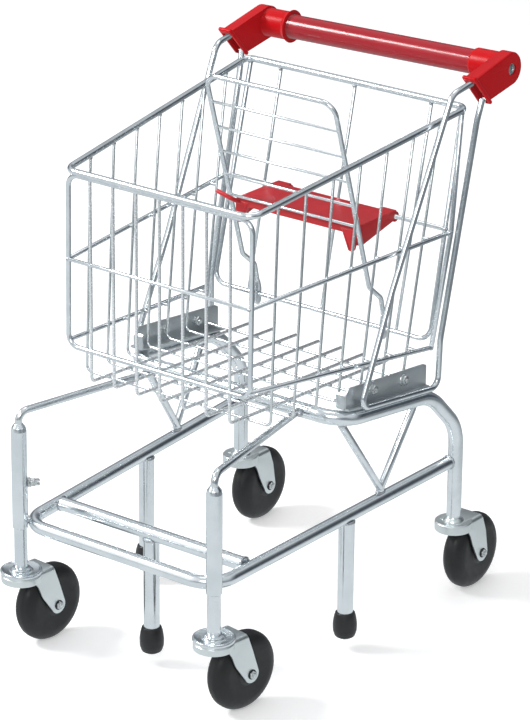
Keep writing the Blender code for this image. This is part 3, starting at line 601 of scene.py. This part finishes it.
# ---------------------------------------------- arms, sleeves, set screws
arms = Shape()
for tag, s in SIDES:
    arms.tube([(s * FX, FY, 243.0), (s * FX, FY, 264.8), (s * 91.5, -30.0 - TUBE_R - ARM_R + 0.5, 264.8)], ARM_R, 24,
              [0, 11, 0], step=5.0)
    seams.bead((s * 91.5, -30.0 - TUBE_R - 1.6, 264.6), (4.6, 3.6, 4.2), sides=18, rings=10)
    seams.bead((s * 97.0, -30.0 - TUBE_R - 6.4, 264.6), (3.4, 3.0, 3.4), sides=16, rings=9)
arms.build("front_arms", "chassis", ZINC, ["arm_rod_right", "arm_rod_left"], "bright_zinc")
for tag, s in SIDES:
    sleeve = Shape()
    outline = round_outline([(6.3, 137.5), (SLEEVE_R, 137.5), (SLEEVE_R, 244.6), (7.3, 248.6), (5.6, 250.9),
                             (4.4, 252.6), (0.0, 252.6)], [0.3, 0.6, 2.6, 2.4, 1.4, 0.8, 0.0], 9.0, closed=False)
    sleeve.lathe([(0.0, 138.9), (6.3, 138.9)] + outline[1:], 56, (s * FX, FY, 0))
    sleeve.build("swivel_sleeve_tube_" + tag, "chassis", ZINC_TUBE, ["swivel_sleeve_" + tag], "bright_zinc")
    screw = Shape()
    screw.lathe([(0.0, 0.2), (4.6, 0.2), (5.2, 0.8), (5.2, 2.4), (4.8, 3.0), (0.0, 3.0)], 36)
    screw.mesh(soften(to_mesh(Shape().lathe([(0.0, 2.8), (4.9, 2.8), (4.9, 7.0), (4.3, 7.5), (0.0, 7.5)], 6)),
                      0.4, 2, 30.0))
    stub = plate(round_outline([(-3.2, 7.0), (3.2, 7.0), (3.2, 12.5), (1.1, 12.5), (1.1, 9.6), (-1.1, 9.6), (-1.1, 12.5),
                                (-3.2, 12.5)], [0.1, 0.1, 1.0, 0.6, 0.5, 0.5, 0.6, 1.0], 15.0), 4.0, "XZ", -2.0, 0.6, 3)
    screw.mesh(stub)
    turn = math.radians(135.0) if s > 0 else math.radians(45.0)
    screw.moved(Matrix.Translation(Vector((s * FX, FY, 0))) @ Matrix.Rotation(turn, 4, "Z") @
                Matrix.Translation(Vector((SLEEVE_R, 0, 187.0))) @ Matrix.Rotation(math.pi / 2, 4, "Y"))
    screw.build("set_screw_head_" + tag, "chassis", BOLT, ["set_screw_" + tag], "plated_hardware")

# --------------------------------------------------------- anti-tip legs
for name, x, y, top, under in (("center", 0.0, CROSS_Y, CROSS_Z, CROSS_R),
                               ("right", rack_x(-10.5), -10.5, rack_z(-10.5), RACK_R),
                               ("left", -rack_x(-10.5), -10.5, rack_z(-10.5), RACK_R)):
    leg = Shape()
    leg.lathe([(0.0, 27.0), (8.4, 27.0), (8.4, top - under + 2.0), (8.0, top - under + 2.4), (0.0, top - under + 2.4)],
              40, (x, y, 0))
    leg.build("leg_" + name, "chassis", ZINC_TUBE, ["tip_leg_" + name], "bright_zinc")
    seams.seam((x, y, top - under + 1.2), (0, 0, 1), 7.6, 1.5)
    foot = Shape()
    outline = [(0.0, 13.0)] + [(p.x, p.y) for p in fillet(
        [(6.6, 13.0, 0), (10.6, 15.4, 0), (12.5, 21.0, 0), (12.7, 29.0, 0), (11.7, 36.6, 0), (10.2, 41.8, 0),
         (8.5, 42.2, 0)], [0, 3.0, 12.0, 14.0, 16.0, 0.9, 0], 8.0)] + [(8.5, 40.0), (0.0, 40.0)]
    foot.lathe(outline, 48, (x, y, 0))
    foot.build("foot_" + name, "chassis", FOOT, ["tip_foot_" + name], "foot_rubber")

# ----------------------------------------------------------------- braces
v_low = (rack_x(43.6), 43.6, rack_z(43.6) + RACK_R + 4.4)
for tag, s in SIDES:
    v = Shape()
    v.tube([(s * 129.6, -16.4, 251.4), (s * v_low[0], v_low[1] + 1.5, v_low[2] - 1.6)], 4.1, 24, dome=0.8)
    v.tube([(s * 141.6, 91.0, tube_z(91.0) - TUBE_R - 3.6), (s * v_low[0], v_low[1] - 1.0, v_low[2] - 1.2)], 4.0, 24,
           dome=0.8)
    v.build("side_brace_" + tag, "chassis", ZINC, ["v_brace_" + tag], "bright_zinc")
    seams.bead((s * v_low[0], v_low[1], v_low[2] - 3.6), (4.2, 7.0, 3.6), sides=18, rings=10)
    seams.bead((s * 130.6, -17.0, 252.8), (4.8, 5.2, 3.6), sides=18, rings=10)
    seams.bead((s * 141.6, 91.4, tube_z(91.0) - TUBE_R - 1.4), (4.6, 5.0, 2.8), sides=18, rings=10)
seams.build("frame_welds", "chassis", WELD, (), "bright_zinc")


# ---------------------------------------------------------------- casters
def arm_outline(trail, top):
    pts = [(-7.0, top + 1.0), (-7.0, top - 8.0), (4.6, top - 11.6), (9.6, top - 18.4), (14.7, top - 31.0)]
    return pts + arc(trail, WHEEL_R, 9.4, 205, 372, 26) + [(38.4, top - 20.5), (32.6, top - 5.0), (31.0, top + 1.0)]


def caster(tag, x, y, trail, yaw, swivel):
    top = 88.0
    w = FORK_GAP + FORK_T
    place = Matrix.Translation(Vector((x, y, 0))) @ Matrix.Rotation(yaw, 4, "Z")
    body = "caster_" + tag if swivel else "chassis"
    # folded sheet: an inverted channel trimmed to the side outline of the arms
    channel = plate(round_outline([(-w, 24.0), (-w, top), (w, top), (w, 24.0), (FORK_GAP, 24.0),
                                   (FORK_GAP, top - FORK_T - 0.4), (-FORK_GAP, top - FORK_T - 0.4), (-FORK_GAP, 24.0)],
                                  [0.0, 4.8, 4.8, 0.0, 0.0, 2.8, 2.8, 0.0], 9.0), 90.0, "XZ", -30.0, 0.0)
    trim = plate(round_outline(arm_outline(trail, top), [0.0, 1.5, 5.0, 8.0, 26.0] + [0.0] * 27 + [26.0, 4.0, 0.0], 9.0),
                 60.0, "YZ", -30.0, 0.0)
    sheet = soften(combine(channel, [trim], "INTERSECT"), 0.55, 3, 50.0)
    # cup under the crown, its skirt cut away over the tyre
    rim_r = 20.9 if swivel else 20.2
    cup = to_mesh(Shape().lathe(round_outline(
        [(0.0, top - 0.2), (0.0, top - 2.6), (rim_r - 2.0, top - 2.8), (rim_r - 2.0, top - 10.4), (rim_r - 0.3, top - 10.4),
         (rim_r, top - 9.6), (rim_r, top - 3.4 if swivel else top - 1.0), (rim_r - 1.0, top - 2.6 if swivel else top),
         (rim_r - 1.8, top - 0.2)], [0, 0, 1.2, 0.6, 0.6, 0.4, 0.8, 0.5, 0.2], 12.0, closed=True), 96))
    room = to_mesh(Shape().lathe([(0.0, -13.9), (WHEEL_R + 1.6, -13.9), (WHEEL_R + 1.6, 13.9), (0.0, 13.9)], 128,
                                 (0, trail, WHEEL_R), "X"))
    fork = Shape().mesh(sheet)
    fork.mesh(soften(combine(cup, [room], "DIFFERENCE"), 0.3, 2, 50.0))
    if swivel:
        dish = [(0.0, top - 2.4)] + round_outline(
            [(19.4, top - 2.4), (19.4, top - 1.4), (21.4, top - 1.2), (22.0, top + 0.6), (21.6, top + 2.4),
             (20.2, top + 3.0), (18.2, top + 1.9), (12.6, top + 1.1), (10.8, top + 1.6), (10.3, top + 3.8),
             (6.9, top + 4.4), (6.7, 136.9), (5.9, 137.1)],
            [0.2, 0.3, 0.9, 1.0, 1.0, 1.0, 3.0, 2.0, 0.8, 0.8, 0.4, 0.3, 0.0], 10.0, closed=False) + \
            [(5.8, 141.0), (0.0, 141.0)]
        fork.lathe(dish, 112, slot=1)
    else:
        fork.lathe([(0.0, top - 0.6), (11.4, top - 0.6), (11.0, top + 0.8), (9.6, top + 2.2), (8.5, top + 3.8),
                    (0.0, top + 3.8)], 64)
    fork.moved(place)
    fork.build("fork_" + tag, body, [SHEET, ZINC_TUBE], ["caster_fork_" + tag], "bright_zinc")

    e = FORK_GAP + FORK_T
    bolt = Shape()
    c = (0, trail, WHEEL_R)
    # thin dark spring washer, small hexagon nut and bolt end outside; low domed head inside
    bolt.lathe([(0.0, e - 0.1), (4.9, e - 0.1), (5.3, e + 0.3), (5.1, e + 0.8), (0.0, e + 0.8)], 48, c, "X", slot=1)
    bolt.mesh(soften(to_mesh(Shape().lathe([(0.0, e + 0.6), (4.6, e + 0.6), (4.6, e + 2.9), (4.0, e + 3.4),
                                            (0.0, e + 3.4)], 6, c, "X")), 0.3, 2, 30.0))
    bolt.lathe([(0.0, e + 2.4), (2.3, e + 2.4), (2.3, e + 4.2), (1.8, e + 4.7), (0.0, e + 4.8)], 32, c, "X")
    bolt.lathe([(0.0, -e + 0.1), (4.6, -e + 0.1), (5.3, -e - 0.7), (4.6, -e - 2.2), (2.6, -e - 3.0), (0.0, -e - 3.2)],
               48, c, "X")
    bolt.lathe([(0.0, -e), (3.0, -e), (3.0, e), (0.0, e)], 32, c, "X")
    bolt.moved(place)
    bolt.build("axle_" + tag, body, [BOLT, DARK], ["axle_bolt_" + tag], "plated_hardware")

    tyre = Shape()
    profile = [(12.8, -12.2)] + [(p.x, p.y) for p in fillet(
        [(22.0, -12.7, 0), (29.0, -12.9, 0), (34.8, -11.2, 0), (38.9, -8.0, 0), (41.4, -4.2, 0), (42.15, 0.0, 0),
         (41.4, 4.2, 0), (38.9, 8.0, 0), (34.8, 11.2, 0), (29.0, 12.9, 0), (22.0, 12.7, 0)],
        [0, 14.0, 14.0, 10.0, 10.0, 20.0, 10.0, 10.0, 14.0, 14.0, 0], 3.0)] + [(12.8, 12.2)]
    tyre.lathe([(min(r, WHEEL_R - 0.02), h) for r, h in profile], 160, c, "X")
    tyre.moved(place)
    tyre.build("tyre_" + tag + "_rubber", "wheel_" + tag, TYRE, ["tyre_" + tag], "tyre_rubber")
    hub = Shape()
    hub.lathe(round_outline([(3.4, -13.9), (6.6, -13.9), (7.6, -12.9), (12.4, -12.5), (15.0, -11.4), (15.0, 11.4),
                             (12.4, 12.5), (7.6, 12.9), (6.6, 13.9), (3.4, 13.9)], 0.5, 15.0), 80, c, "X")
    hub.moved(place)
    hub.build("hub_" + tag, "wheel_" + tag, HUB, ["wheel_hub_" + tag], "hub_plastic")


caster("front_right", FX, FY, FRONT_TRAIL, -FRONT_YAW, True)
caster("front_left", -FX, FY, FRONT_TRAIL, -LEFT_YAW, True)
caster("rear_right", LX, LY, REAR_TRAIL, 0.0, False)
caster("rear_left", -LX, LY, REAR_TRAIL, 0.0, False)

# ------------------------------------------- side hoops, brackets, bolts
for tag, s, shoulder, tilt in (("right", 1, 571.5, 3.4), ("left", -1, 568.8, -3.4)):
    path = [(156.5, 159.4, 574.5 + tilt), (152.4, 131.5, shoulder), (146.6, 42.0, 382.0), (148.6, -10.5, 272.4),
            (151.2, 121.5, 256.4), (152.0, 122.5, 308.0), (154.6, 173.6, 530.0 + tilt), (156.5, 179.5, 552.4 + tilt)]
    hoop = Shape()
    hoop.tube([(s * x, y, z) for x, y, z in path], HOOP_R, 24, [0, 16, 60, 9, 11, 40, 3, 0], step=4.0)
    hoop.build("hoop_" + tag, "chassis", ZINC, ["side_hoop_" + tag], "bright_zinc")
    bracket = Shape()
    x0 = 137.6 if s > 0 else -139.6
    outline = round_outline([(-24.0, 272.6), (-24.0, 288.0), (-17.0, 295.0), (112.0, 282.0), (117.0, 279.5),
                             (117.0, 255.8)], [1.0, 3.0, 4.0, 4.0, 2.0, 1.0], 12.0)
    bracket.mesh(plate(outline, 2.0, "YZ", x0, 0.5, 3))
    xf = 137.6 if s > 0 else -144.0
    bracket.mesh(plate([(-24.0, 272.6), (117.0, 255.8), (117.0, 257.8), (-24.0, 274.6)], 6.4, "YZ", xf, 0.5, 3))
    shelf = round_outline([(s * 138.6, -23.0), (s * 124.6, -23.0), (s * 124.6, 116.0), (s * 138.6, 116.0)],
                          [0.5, 6.5, 3.0, 0.5], 10.0)
    shelf = plate(shelf, 1.8, "XY", 0.0, 0.6, 3)
    for v in shelf.vertices:
        v.co.z += 272.8 - (v.co.y + 24.0) * 0.1191
    bracket.mesh(shelf)
    bracket.tube([(s * 125.2, -16.0, 273.4), (s * 125.2, 110.0, 258.4)], 1.15, 14)
    xh = 127.0 if s > 0 else -139.0
    bracket.mesh(plate([(-24.0, 272.6), (-24.0, 288.0), (-22.0, 290.0), (-22.0, 272.4)], 12.0, "YZ", xh, 0.5, 3))
    bracket.tube([(s * 138.8, -23.2, 273.4), (s * 138.8, 116.4, 256.8)], 1.3, 14)
    bracket.build("bracket_" + tag, "chassis", STRAP, ["basket_bracket_" + tag], "bright_zinc")
    for where, y, z in (("front", 22.0, 281.5), ("rear", 76.0, 275.5)):
        b = Shape()
        b.lathe([(0.0, 139.3), (6.4, 139.3), (6.7, 139.8), (6.4, 140.4), (0.0, 140.4)], 36, (0, y, z), "X")
        b.mesh(soften(to_mesh(Shape().lathe([(0.0, 140.2), (5.4, 140.2), (5.4, 143.2), (4.8, 143.8), (0.0, 143.8)], 6,
                                            (0, y, z), "X")), 0.3, 2, 30.0))
        b.lathe([(0.0, 143.0), (2.6, 143.0), (2.6, 145.0), (2.1, 145.5), (0.0, 145.6)], 28, (0, y, z), "X")
        b.lathe([(0.0, 134.2), (4.2, 134.2), (4.4, 134.5), (4.4, 137.8), (0.0, 137.8)], 36, (0, y, z), "X")
        b.mesh(soften(to_mesh(Shape().lathe([(0.0, 130.8), (4.7, 130.8), (5.2, 131.4), (5.2, 134.4), (0.0, 134.4)], 6,
                                            (0, y, z), "X")), 0.3, 2, 30.0))
        b.lathe([(0.0, 128.6), (2.1, 128.7), (2.6, 129.2), (2.6, 131.4), (0.0, 131.4)], 28, (0, y, z), "X")
        if s < 0:
            b.moved(Matrix.Scale(-1.0, 4, Vector((1, 0, 0))))
        b.build("bolt_%s_%s" % (where, tag), "chassis", BOLT, ["bracket_bolt_%s_%s" % (where, tag)], "plated_hardware")

# ------------------------------------------------------------ folding seat
sy, sz = SEAT_PIVOT
seat_low, seat_top = (90.0, 360.0), (25.5, 573.0)
side_rods = [(SEAT_LEG_X, sy + 0.2, sz + 4.5), (SEAT_LEG_X, sy - 0.6, sz + 15.0), (SEAT_LEG_X, 111.0, 342.5),
             (SEAT_LEG_X, *seat_low), (82.5, *seat_top)]
seat = Shape()
seat.tube([(-x, y, z) for x, y, z in side_rods] + side_rods[::-1], 2.6, 22, [0, 9, 9, 12, 16, 16, 12, 9, 9, 0])
for z in (432.0, 456.0, 484.0, 513.0, 542.0):
    y = seat_low[0] + (z - seat_low[1]) * (seat_top[0] - seat_low[0]) / (seat_top[1] - seat_low[1])
    seat.tube([(-82.8, y, z), (82.8, y, z)], 1.5, 14)
for s in (-1, 1):
    foot = round_outline(arc(sy, sz - 7.0, 4.9, 180, 360, 20) + [(sy + 5.2, sz + 6.0), (sy + 2.4, sz + 16.0),
                                                                 (sy - 3.2, sz + 16.0), (sy - 5.2, sz + 6.0)],
                         [0.0] * 21 + [6.0, 2.0, 2.0, 6.0], 10.0)
    eye = plate(foot, 3.4, "YZ", s * SEAT_LEG_X - 1.7, 0.7, 3)
    hole = to_mesh(Shape().lathe([(0.0, -9.0), (RAIL_R + 0.25, -9.0), (RAIL_R + 0.25, 9.0), (0.0, 9.0)], 32,
                                 (s * SEAT_LEG_X, sy, sz), "X"))
    seat.mesh(combine(eye, [hole], "DIFFERENCE"))
seat.build("seat_back_frame", "seat_back", ZINC, ["seat_back"], "bright_zinc")
seat_knots = Shape()
for z in (432.0, 456.0, 484.0, 513.0, 542.0):
    y = seat_low[0] + (z - seat_low[1]) * (seat_top[0] - seat_low[0]) / (seat_top[1] - seat_low[1])
    for s in (-1, 1):
        seat_knots.bead((s * 81.4, y, z), (2.2, 2.0, 1.9))
seat_knots.build("seat_back_welds", "seat_back", WELD, (), "bright_zinc")

gy, gz = FLAP_PIVOT
board = plate(round_outline([(71.0, gz - 0.6), (71.0, gz + 6.0), (72.2, gz + 7.3), (gy + 1.0, gz + 7.3),
                             (gy + 1.0, gz + 4.0), (74.0, gz + 4.0), (74.0, gz - 0.6)],
                            [0.4, 1.2, 1.2, 0.8, 0.5, 1.0, 0.4], 18.0), 155.0, "YZ", -77.5, 0.0)
cutters = []
for s in (-1, 1):
    cutters.append(to_mesh(Shape().mesh(plate([(gy - 6.4, gz - 9.0), (gy + 9.0, gz - 9.0), (gy + 9.0, gz + 9.0),
                                               (gy - 6.4, gz + 9.0)], 60.4, "YZ", -60.2 if s < 0 else -0.2, 0.0))))
cutters = cutters[:1] + [plate([(gy - 6.4, gz - 9.0), (gy + 9.0, gz - 9.0), (gy + 9.0, gz + 9.0),
                                (gy - 6.4, gz + 9.0)], 60.4, "YZ", -0.2, 0.0)]
board = soften(combine(board, cutters, "DIFFERENCE"), 0.7, 3, 50.0)
flap = Shape().mesh(board)
for s in (-1, 1):
    x0 = 75.4 if s > 0 else -78.0
    flap.mesh(plate(round_outline([(71.4, gz + 6.4), (gy - 2.0, gz + 6.4), (gy - 4.0, gz - 3.5), (84.0, gz - 16.0),
                                   (71.4, gz - 12.0)], [1.0, 2.0, 4.0, 5.0, 1.0], 12.0), 2.6, "YZ", x0, 0.7, 3))
    lug = round_outline([(s * 60.0, gz + 4.4), (s * 77.8, gz + 4.4), (s * 77.8, gz - 12.0), (s * 75.8, gz - 19.4),
                         (s * 70.2, gz - 19.4), (s * 66.6, gz - 11.0)], [1.0, 1.0, 6.0, 2.4, 2.4, 12.0], 12.0)
    flap.mesh(plate(lug, 5.6, "XZ", 70.1, 1.0, 4))
    flap.tube([(s * 62.6, 70.4, gz + 3.6), (s * 68.6, 70.4, gz - 11.2), (s * 71.6, 70.4, gz - 17.2)], 0.9, 12, 6.0)
    barrel = Shape().lathe(round_outline([(RAIL_R + 0.25, -8.6), (5.7, -8.6), (5.7, 8.6), (RAIL_R + 0.25, 8.6)], 0.7, 20.0),
                           40, (s * 69.0, gy, gz), "X")
    flap.put(barrel.verts, barrel.faces)
flap.tube([(-72.0, 74.0, gz + 1.2), (-77.0, 61.6, gz + 8.5), (-94.0, 60.6, gz + 13.3)], 2.4, 20, 5.0, dome=0.7)
flap.build("seat_flap_board", "seat_flap", RED_SEAT, ["seat_flap"], "red_plastic")

# ------------------------------------------------------------- push handle
hy, hz = HANDLE
LEVEL = Matrix.Translation(Vector((0, 0, hz))) @ Matrix.Rotation(-HANDLE_TILT, 4, "Y") @ \
    Matrix.Translation(Vector((0, 0, -hz)))
handle = Shape()
handle.lathe([(0.0, -144.0), (HANDLE_R - 0.6, -144.0), (HANDLE_R, -143.4)] +
             [(HANDLE_R, -140.0 + 28.0 * i) for i in range(11)] +
             [(HANDLE_R, 143.4), (HANDLE_R - 0.6, 144.0), (0.0, 144.0)], 72, (0, hy, hz), "X")
handle.moved(LEVEL)
handle.build("handle_grip", "chassis", RED_TUBE, ["handle_tube"], "red_plastic")

A, B = (150.4, 581.4), (180.4, 548.2)     # mouth line of the end cap, y and z
run = math.hypot(B[0] - A[0], B[1] - A[1])
L = ((B[0] - A[0]) / run, (B[1] - A[1]) / run)


def mouth(u, v):
    """Point u along the mouth line and v into the cap."""
    return (A[0] + L[0] * u - L[1] * v, A[1] + L[1] * u + L[0] * v)


cap_outline = [mouth(3.0, 2.6), mouth(run - 2.8, 2.6)] + arc(hy, hz, 17.6, -76, 100, 48)
body = plate(cap_outline, 14.4, "YZ", 150.8, 0.0)
bm = bmesh.new()
bm.from_mesh(body)
outer = [e for e in bm.edges if min(v.co.x for v in e.verts) > 165.1]
bmesh.ops.bevel(bm, geom=outer, offset=2.6, segments=6, affect="EDGES", profile=0.55, clamp_overlap=False)
bm.to_mesh(body)
bm.free()
lip = soften(plate(round_outline([mouth(0.0, 0.0), mouth(run, 0.0), mouth(run, 4.2), mouth(0.0, 4.2)], 1.7, 15.0),
                   17.2, "YZ", 149.6, 0.0), 1.5, 4, 50.0)
pocket = soften(plate([mouth(5.0, -1.5), mouth(run - 2.0, -1.5), (196.0, 559.0), (172.0, 580.6)], 11.6, "YZ",
                      152.3, 0.0), 1.6, 3, 50.0)
collar = to_mesh(Shape().lathe(round_outline([(0.0, 119.0), (14.4, 119.0), (15.4, 121.0), (15.4, 151.0), (0.0, 151.0)],
                                             [0.0, 0.8, 1.4, 0.0, 0.0], 15.0, closed=False), 64, (0, hy, hz), "X"))
bore = to_mesh(Shape().lathe([(0.0, 100.0), (HANDLE_R + 0.1, 100.0), (HANDLE_R + 0.1, 143.0), (0.0, 143.0)], 64,
                             (0, hy, hz), "X"))
recess = to_mesh(Shape().lathe([(0.0, 162.2), (6.6, 162.2), (6.6, 170.0), (0.0, 170.0)], 40, (0, hy, hz), "X"))
cap = combine(body, [lip, collar], "UNION")
cap = combine(cap, [bore, recess, pocket] +
              [to_mesh(Shape().tube(pts, 3.5, 28, dome=0.1)) for pts in
               (((155.9, 133.0, 569.6), (156.8, 161.0, 574.9)), ((154.6, 172.0, 524.0), (156.5, 180.0, 553.5)))],
              "DIFFERENCE")
cap = soften(cap, 0.55, 3, 48.0)
for tag, s in SIDES:
    c = Shape().mesh(cap.copy())
    screw = Shape()
    screw.lathe([(0.0, 160.0), (6.2, 160.0), (6.3, 162.6), (5.6, 163.9), (3.6, 164.6), (2.4, 164.7), (2.0, 163.6),
                 (0.0, 163.4)], 40, (0, hy, hz), "X")
    if s < 0:
        # the left cap's collar opens into a small flange
        c.lathe(round_outline([(HANDLE_R + 0.3, 124.0), (HANDLE_R + 0.3, 119.2), (17.6, 118.8), (18.0, 119.8),
                               (16.6, 121.4), (15.3, 124.6)], [0.2, 0.3, 0.5, 0.6, 2.0, 0.5], 12.0), 72, (0, hy, hz), "X")
        c.moved(Matrix.Scale(-1.0, 4, Vector((1, 0, 0))))
        screw.moved(Matrix.Scale(-1.0, 4, Vector((1, 0, 0))))
    c.moved(LEVEL)
    screw.moved(LEVEL)
    c.build("end_cap_" + tag, "chassis", RED, ["handle_cap_" + tag], "red_plastic", 42.0)
    screw.build("end_screw_" + tag, "chassis", BOLT, ["cap_screw_" + tag], "plated_hardware")

# ------------------------------------------------------------------ stage
me = bpy.data.meshes.new("floor")
me.from_pydata([(-30, -30, 0), (30, -30, 0), (30, 30, 0), (-30, 30, 0)], [], [(0, 1, 2, 3)])
floor = bpy.data.objects.new("floor", me)
scene.collection.objects.link(floor)
mat = bpy.data.materials.new("studio_floor")
mat.use_nodes = True
n = Nodes(mat.node_tree)
path = n.add("ShaderNodeLightPath")
pos = n.add("ShaderNodeNewGeometry").outputs["Position"]
paper = n.add("ShaderNodeBsdfDiffuse", {"Color": n.mix(n.noise(pos, 6.0, 3.0), (0.93, 0.93, 0.93, 1.0),
                                                       (0.95, 0.95, 0.95, 1.0))}).outputs["BSDF"]
lift = n.add("ShaderNodeEmission", {"Color": (1.0, 1.0, 1.0, 1.0),
                                    "Strength": n.math("MULTIPLY", path.outputs["Is Camera Ray"], 0.37)})
paper = n.add("ShaderNodeAddShader", {0: paper, 1: lift.outputs["Emission"]}).outputs[0]
streak = n.noise(n.add("ShaderNodeMapping", {"Vector": pos, "Scale": (2.6, 1.1, 1.0),
                                             "Rotation": (0.0, 0.0, 0.9)}).outputs["Vector"], 1.3, 2.0, 0.5)
# in the reflections: pale in front, fading into a darker room behind and to the right
behind = n.add("ShaderNodeVectorMath", {0: pos, 1: (0.08, 1.0, 0.0)}, operation="DOT_PRODUCT").outputs["Value"]
right_of = n.add("ShaderNodeVectorMath", {0: pos, 1: (0.8, 0.6, 0.0)}, operation="DOT_PRODUCT").outputs["Value"]
dark = n.math("MAXIMUM", n.spread(behind, 0.15, 0.95, 0.0, 0.82, "SMOOTHSTEP"),
              n.spread(right_of, 0.35, 1.1, 0.0, 1.0, "SMOOTHSTEP"))
dark = n.math("MULTIPLY", dark, n.spread(streak, 0.36, 0.62, 1.0, 0.6))
seen = n.add("ShaderNodeEmission", {"Color": n.mix(dark, (0.77, 0.815, 0.84, 1.0), (0.07, 0.088, 0.103, 1.0)),
                                    "Strength": 1.0}).outputs["Emission"]
both = n.add("ShaderNodeMixShader", {"Fac": path.outputs["Is Glossy Ray"]})
mat.node_tree.links.new(paper, both.inputs[1])
mat.node_tree.links.new(seen, both.inputs[2])
out = n.add("ShaderNodeOutputMaterial")
mat.node_tree.links.new(both.outputs["Shader"], out.inputs["Surface"])
floor.data.materials.append(mat)

# world: white to the eye; soft boxes and dark flags in the reflections
world = bpy.data.worlds.new("studio")
scene.world = world
world.use_nodes = True
n = Nodes(world.node_tree)
path = n.add("ShaderNodeLightPath")
ray = n.add("ShaderNodeTexCoord").outputs["Generated"]


def patch(direction, near, far):
    """1 inside a soft round patch of sky round a direction, 0 outside."""
    v = Vector(direction).normalized()
    d = n.add("ShaderNodeVectorMath", {0: ray, 1: tuple(v)}, operation="DOT_PRODUCT").outputs["Value"]
    return n.spread(d, math.cos(math.radians(far)), math.cos(math.radians(near)), 0.0, 1.0, "SMOOTHSTEP")


up = n.add("ShaderNodeSeparateXYZ", {0: ray}).outputs[2]
sky = n.mix(n.spread(up, 0.02, 0.6, 0.0, 1.0, "SMOOTHSTEP"), (0.32, 0.355, 0.38, 1.0), (0.67, 0.705, 0.73, 1.0))
colour = n.mix(patch((0.57, 0.74, 0.10), 18, 46), sky, (0.07, 0.08, 0.095, 1.0))
colour = n.mix(patch((-0.45, 0.88, 0.12), 10, 34), colour, (0.14, 0.155, 0.175, 1.0))
colour = n.mix(patch((-0.95, 0.35, 0.15), 8, 24), colour, (0.16, 0.18, 0.2, 1.0))
colour = n.mix(patch((0.95, -0.45, 0.25), 6, 20), colour, (0.22, 0.24, 0.27, 1.0))
colour = n.mix(patch((-0.15, 0.35, 0.93), 10, 26), colour, (0.2, 0.22, 0.25, 1.0))
colour = n.mix(patch((-0.57, -0.70, 0.42), 12, 26), colour, (1.1, 1.13, 1.14, 1.0))
colour = n.mix(patch((0.35, -0.85, 0.55), 8, 20), colour, (1.1, 1.13, 1.14, 1.0))
colour = n.mix(path.outputs["Is Diffuse Ray"], colour, (0.42, 0.425, 0.43, 1.0))
seen = n.mix(path.outputs["Is Camera Ray"], colour, (1.0, 1.0, 1.0, 1.0))
back = n.add("ShaderNodeBackground", {"Color": seen, "Strength": 1.0})
out = n.add("ShaderNodeOutputWorld")
world.node_tree.links.new(back.outputs["Background"], out.inputs["Surface"])


def area(name, place, aim, size, power, colour=(1, 1, 1)):
    lamp = bpy.data.lights.new(name, "AREA")
    lamp.shape = "RECTANGLE"
    lamp.size, lamp.size_y = size
    lamp.energy = power
    lamp.color = colour
    ob = bpy.data.objects.new(name, lamp)
    ob.location = place
    ob.rotation_euler = (Vector(aim) - Vector(place)).to_track_quat("-Z", "Y").to_euler()
    scene.collection.objects.link(ob)
    return ob


area("key", (-1.9, -1.2, 2.2), (0, 0, 0.2), (0.8, 0.8), 60.0)
area("fill", (1.2, -2.6, 2.0), (0, 0, 0.3), (1.4, 1.0), 20.0)
area("top", (-0.3, 0.5, 3.0), (0, 0, 0.2), (1.4, 1.4), 12.0)

# ----------------------------------------------------------------- camera
az, el, roll = math.radians(37.761), math.radians(21.343), math.radians(0.484)
backward = Vector((math.sin(az) * math.cos(el), -math.cos(az) * math.cos(el), math.sin(el)))
right = Vector((math.cos(az), math.sin(az), 0.0))
upward = backward.cross(right)
right, upward = right * math.cos(roll) + upward * math.sin(roll), upward * math.cos(roll) - right * math.sin(roll)
cam = bpy.data.cameras.new("camera")
cam.sensor_fit = "VERTICAL"
cam.sensor_height = 36.0
cam.sensor_width = 26.5
cam.lens = 175.14
cam.clip_end = 100.0
view = bpy.data.objects.new("camera", cam)
view.matrix_world = Matrix(((right.x, upward.x, backward.x, 2.08304), (right.y, upward.y, backward.y, -2.66637),
                            (right.z, upward.z, backward.z, 1.60838), (0, 0, 0, 1)))
scene.collection.objects.link(view)
scene.camera = view
scene.view_settings.view_transform = "Standard"

bpy.context.view_layer.update()
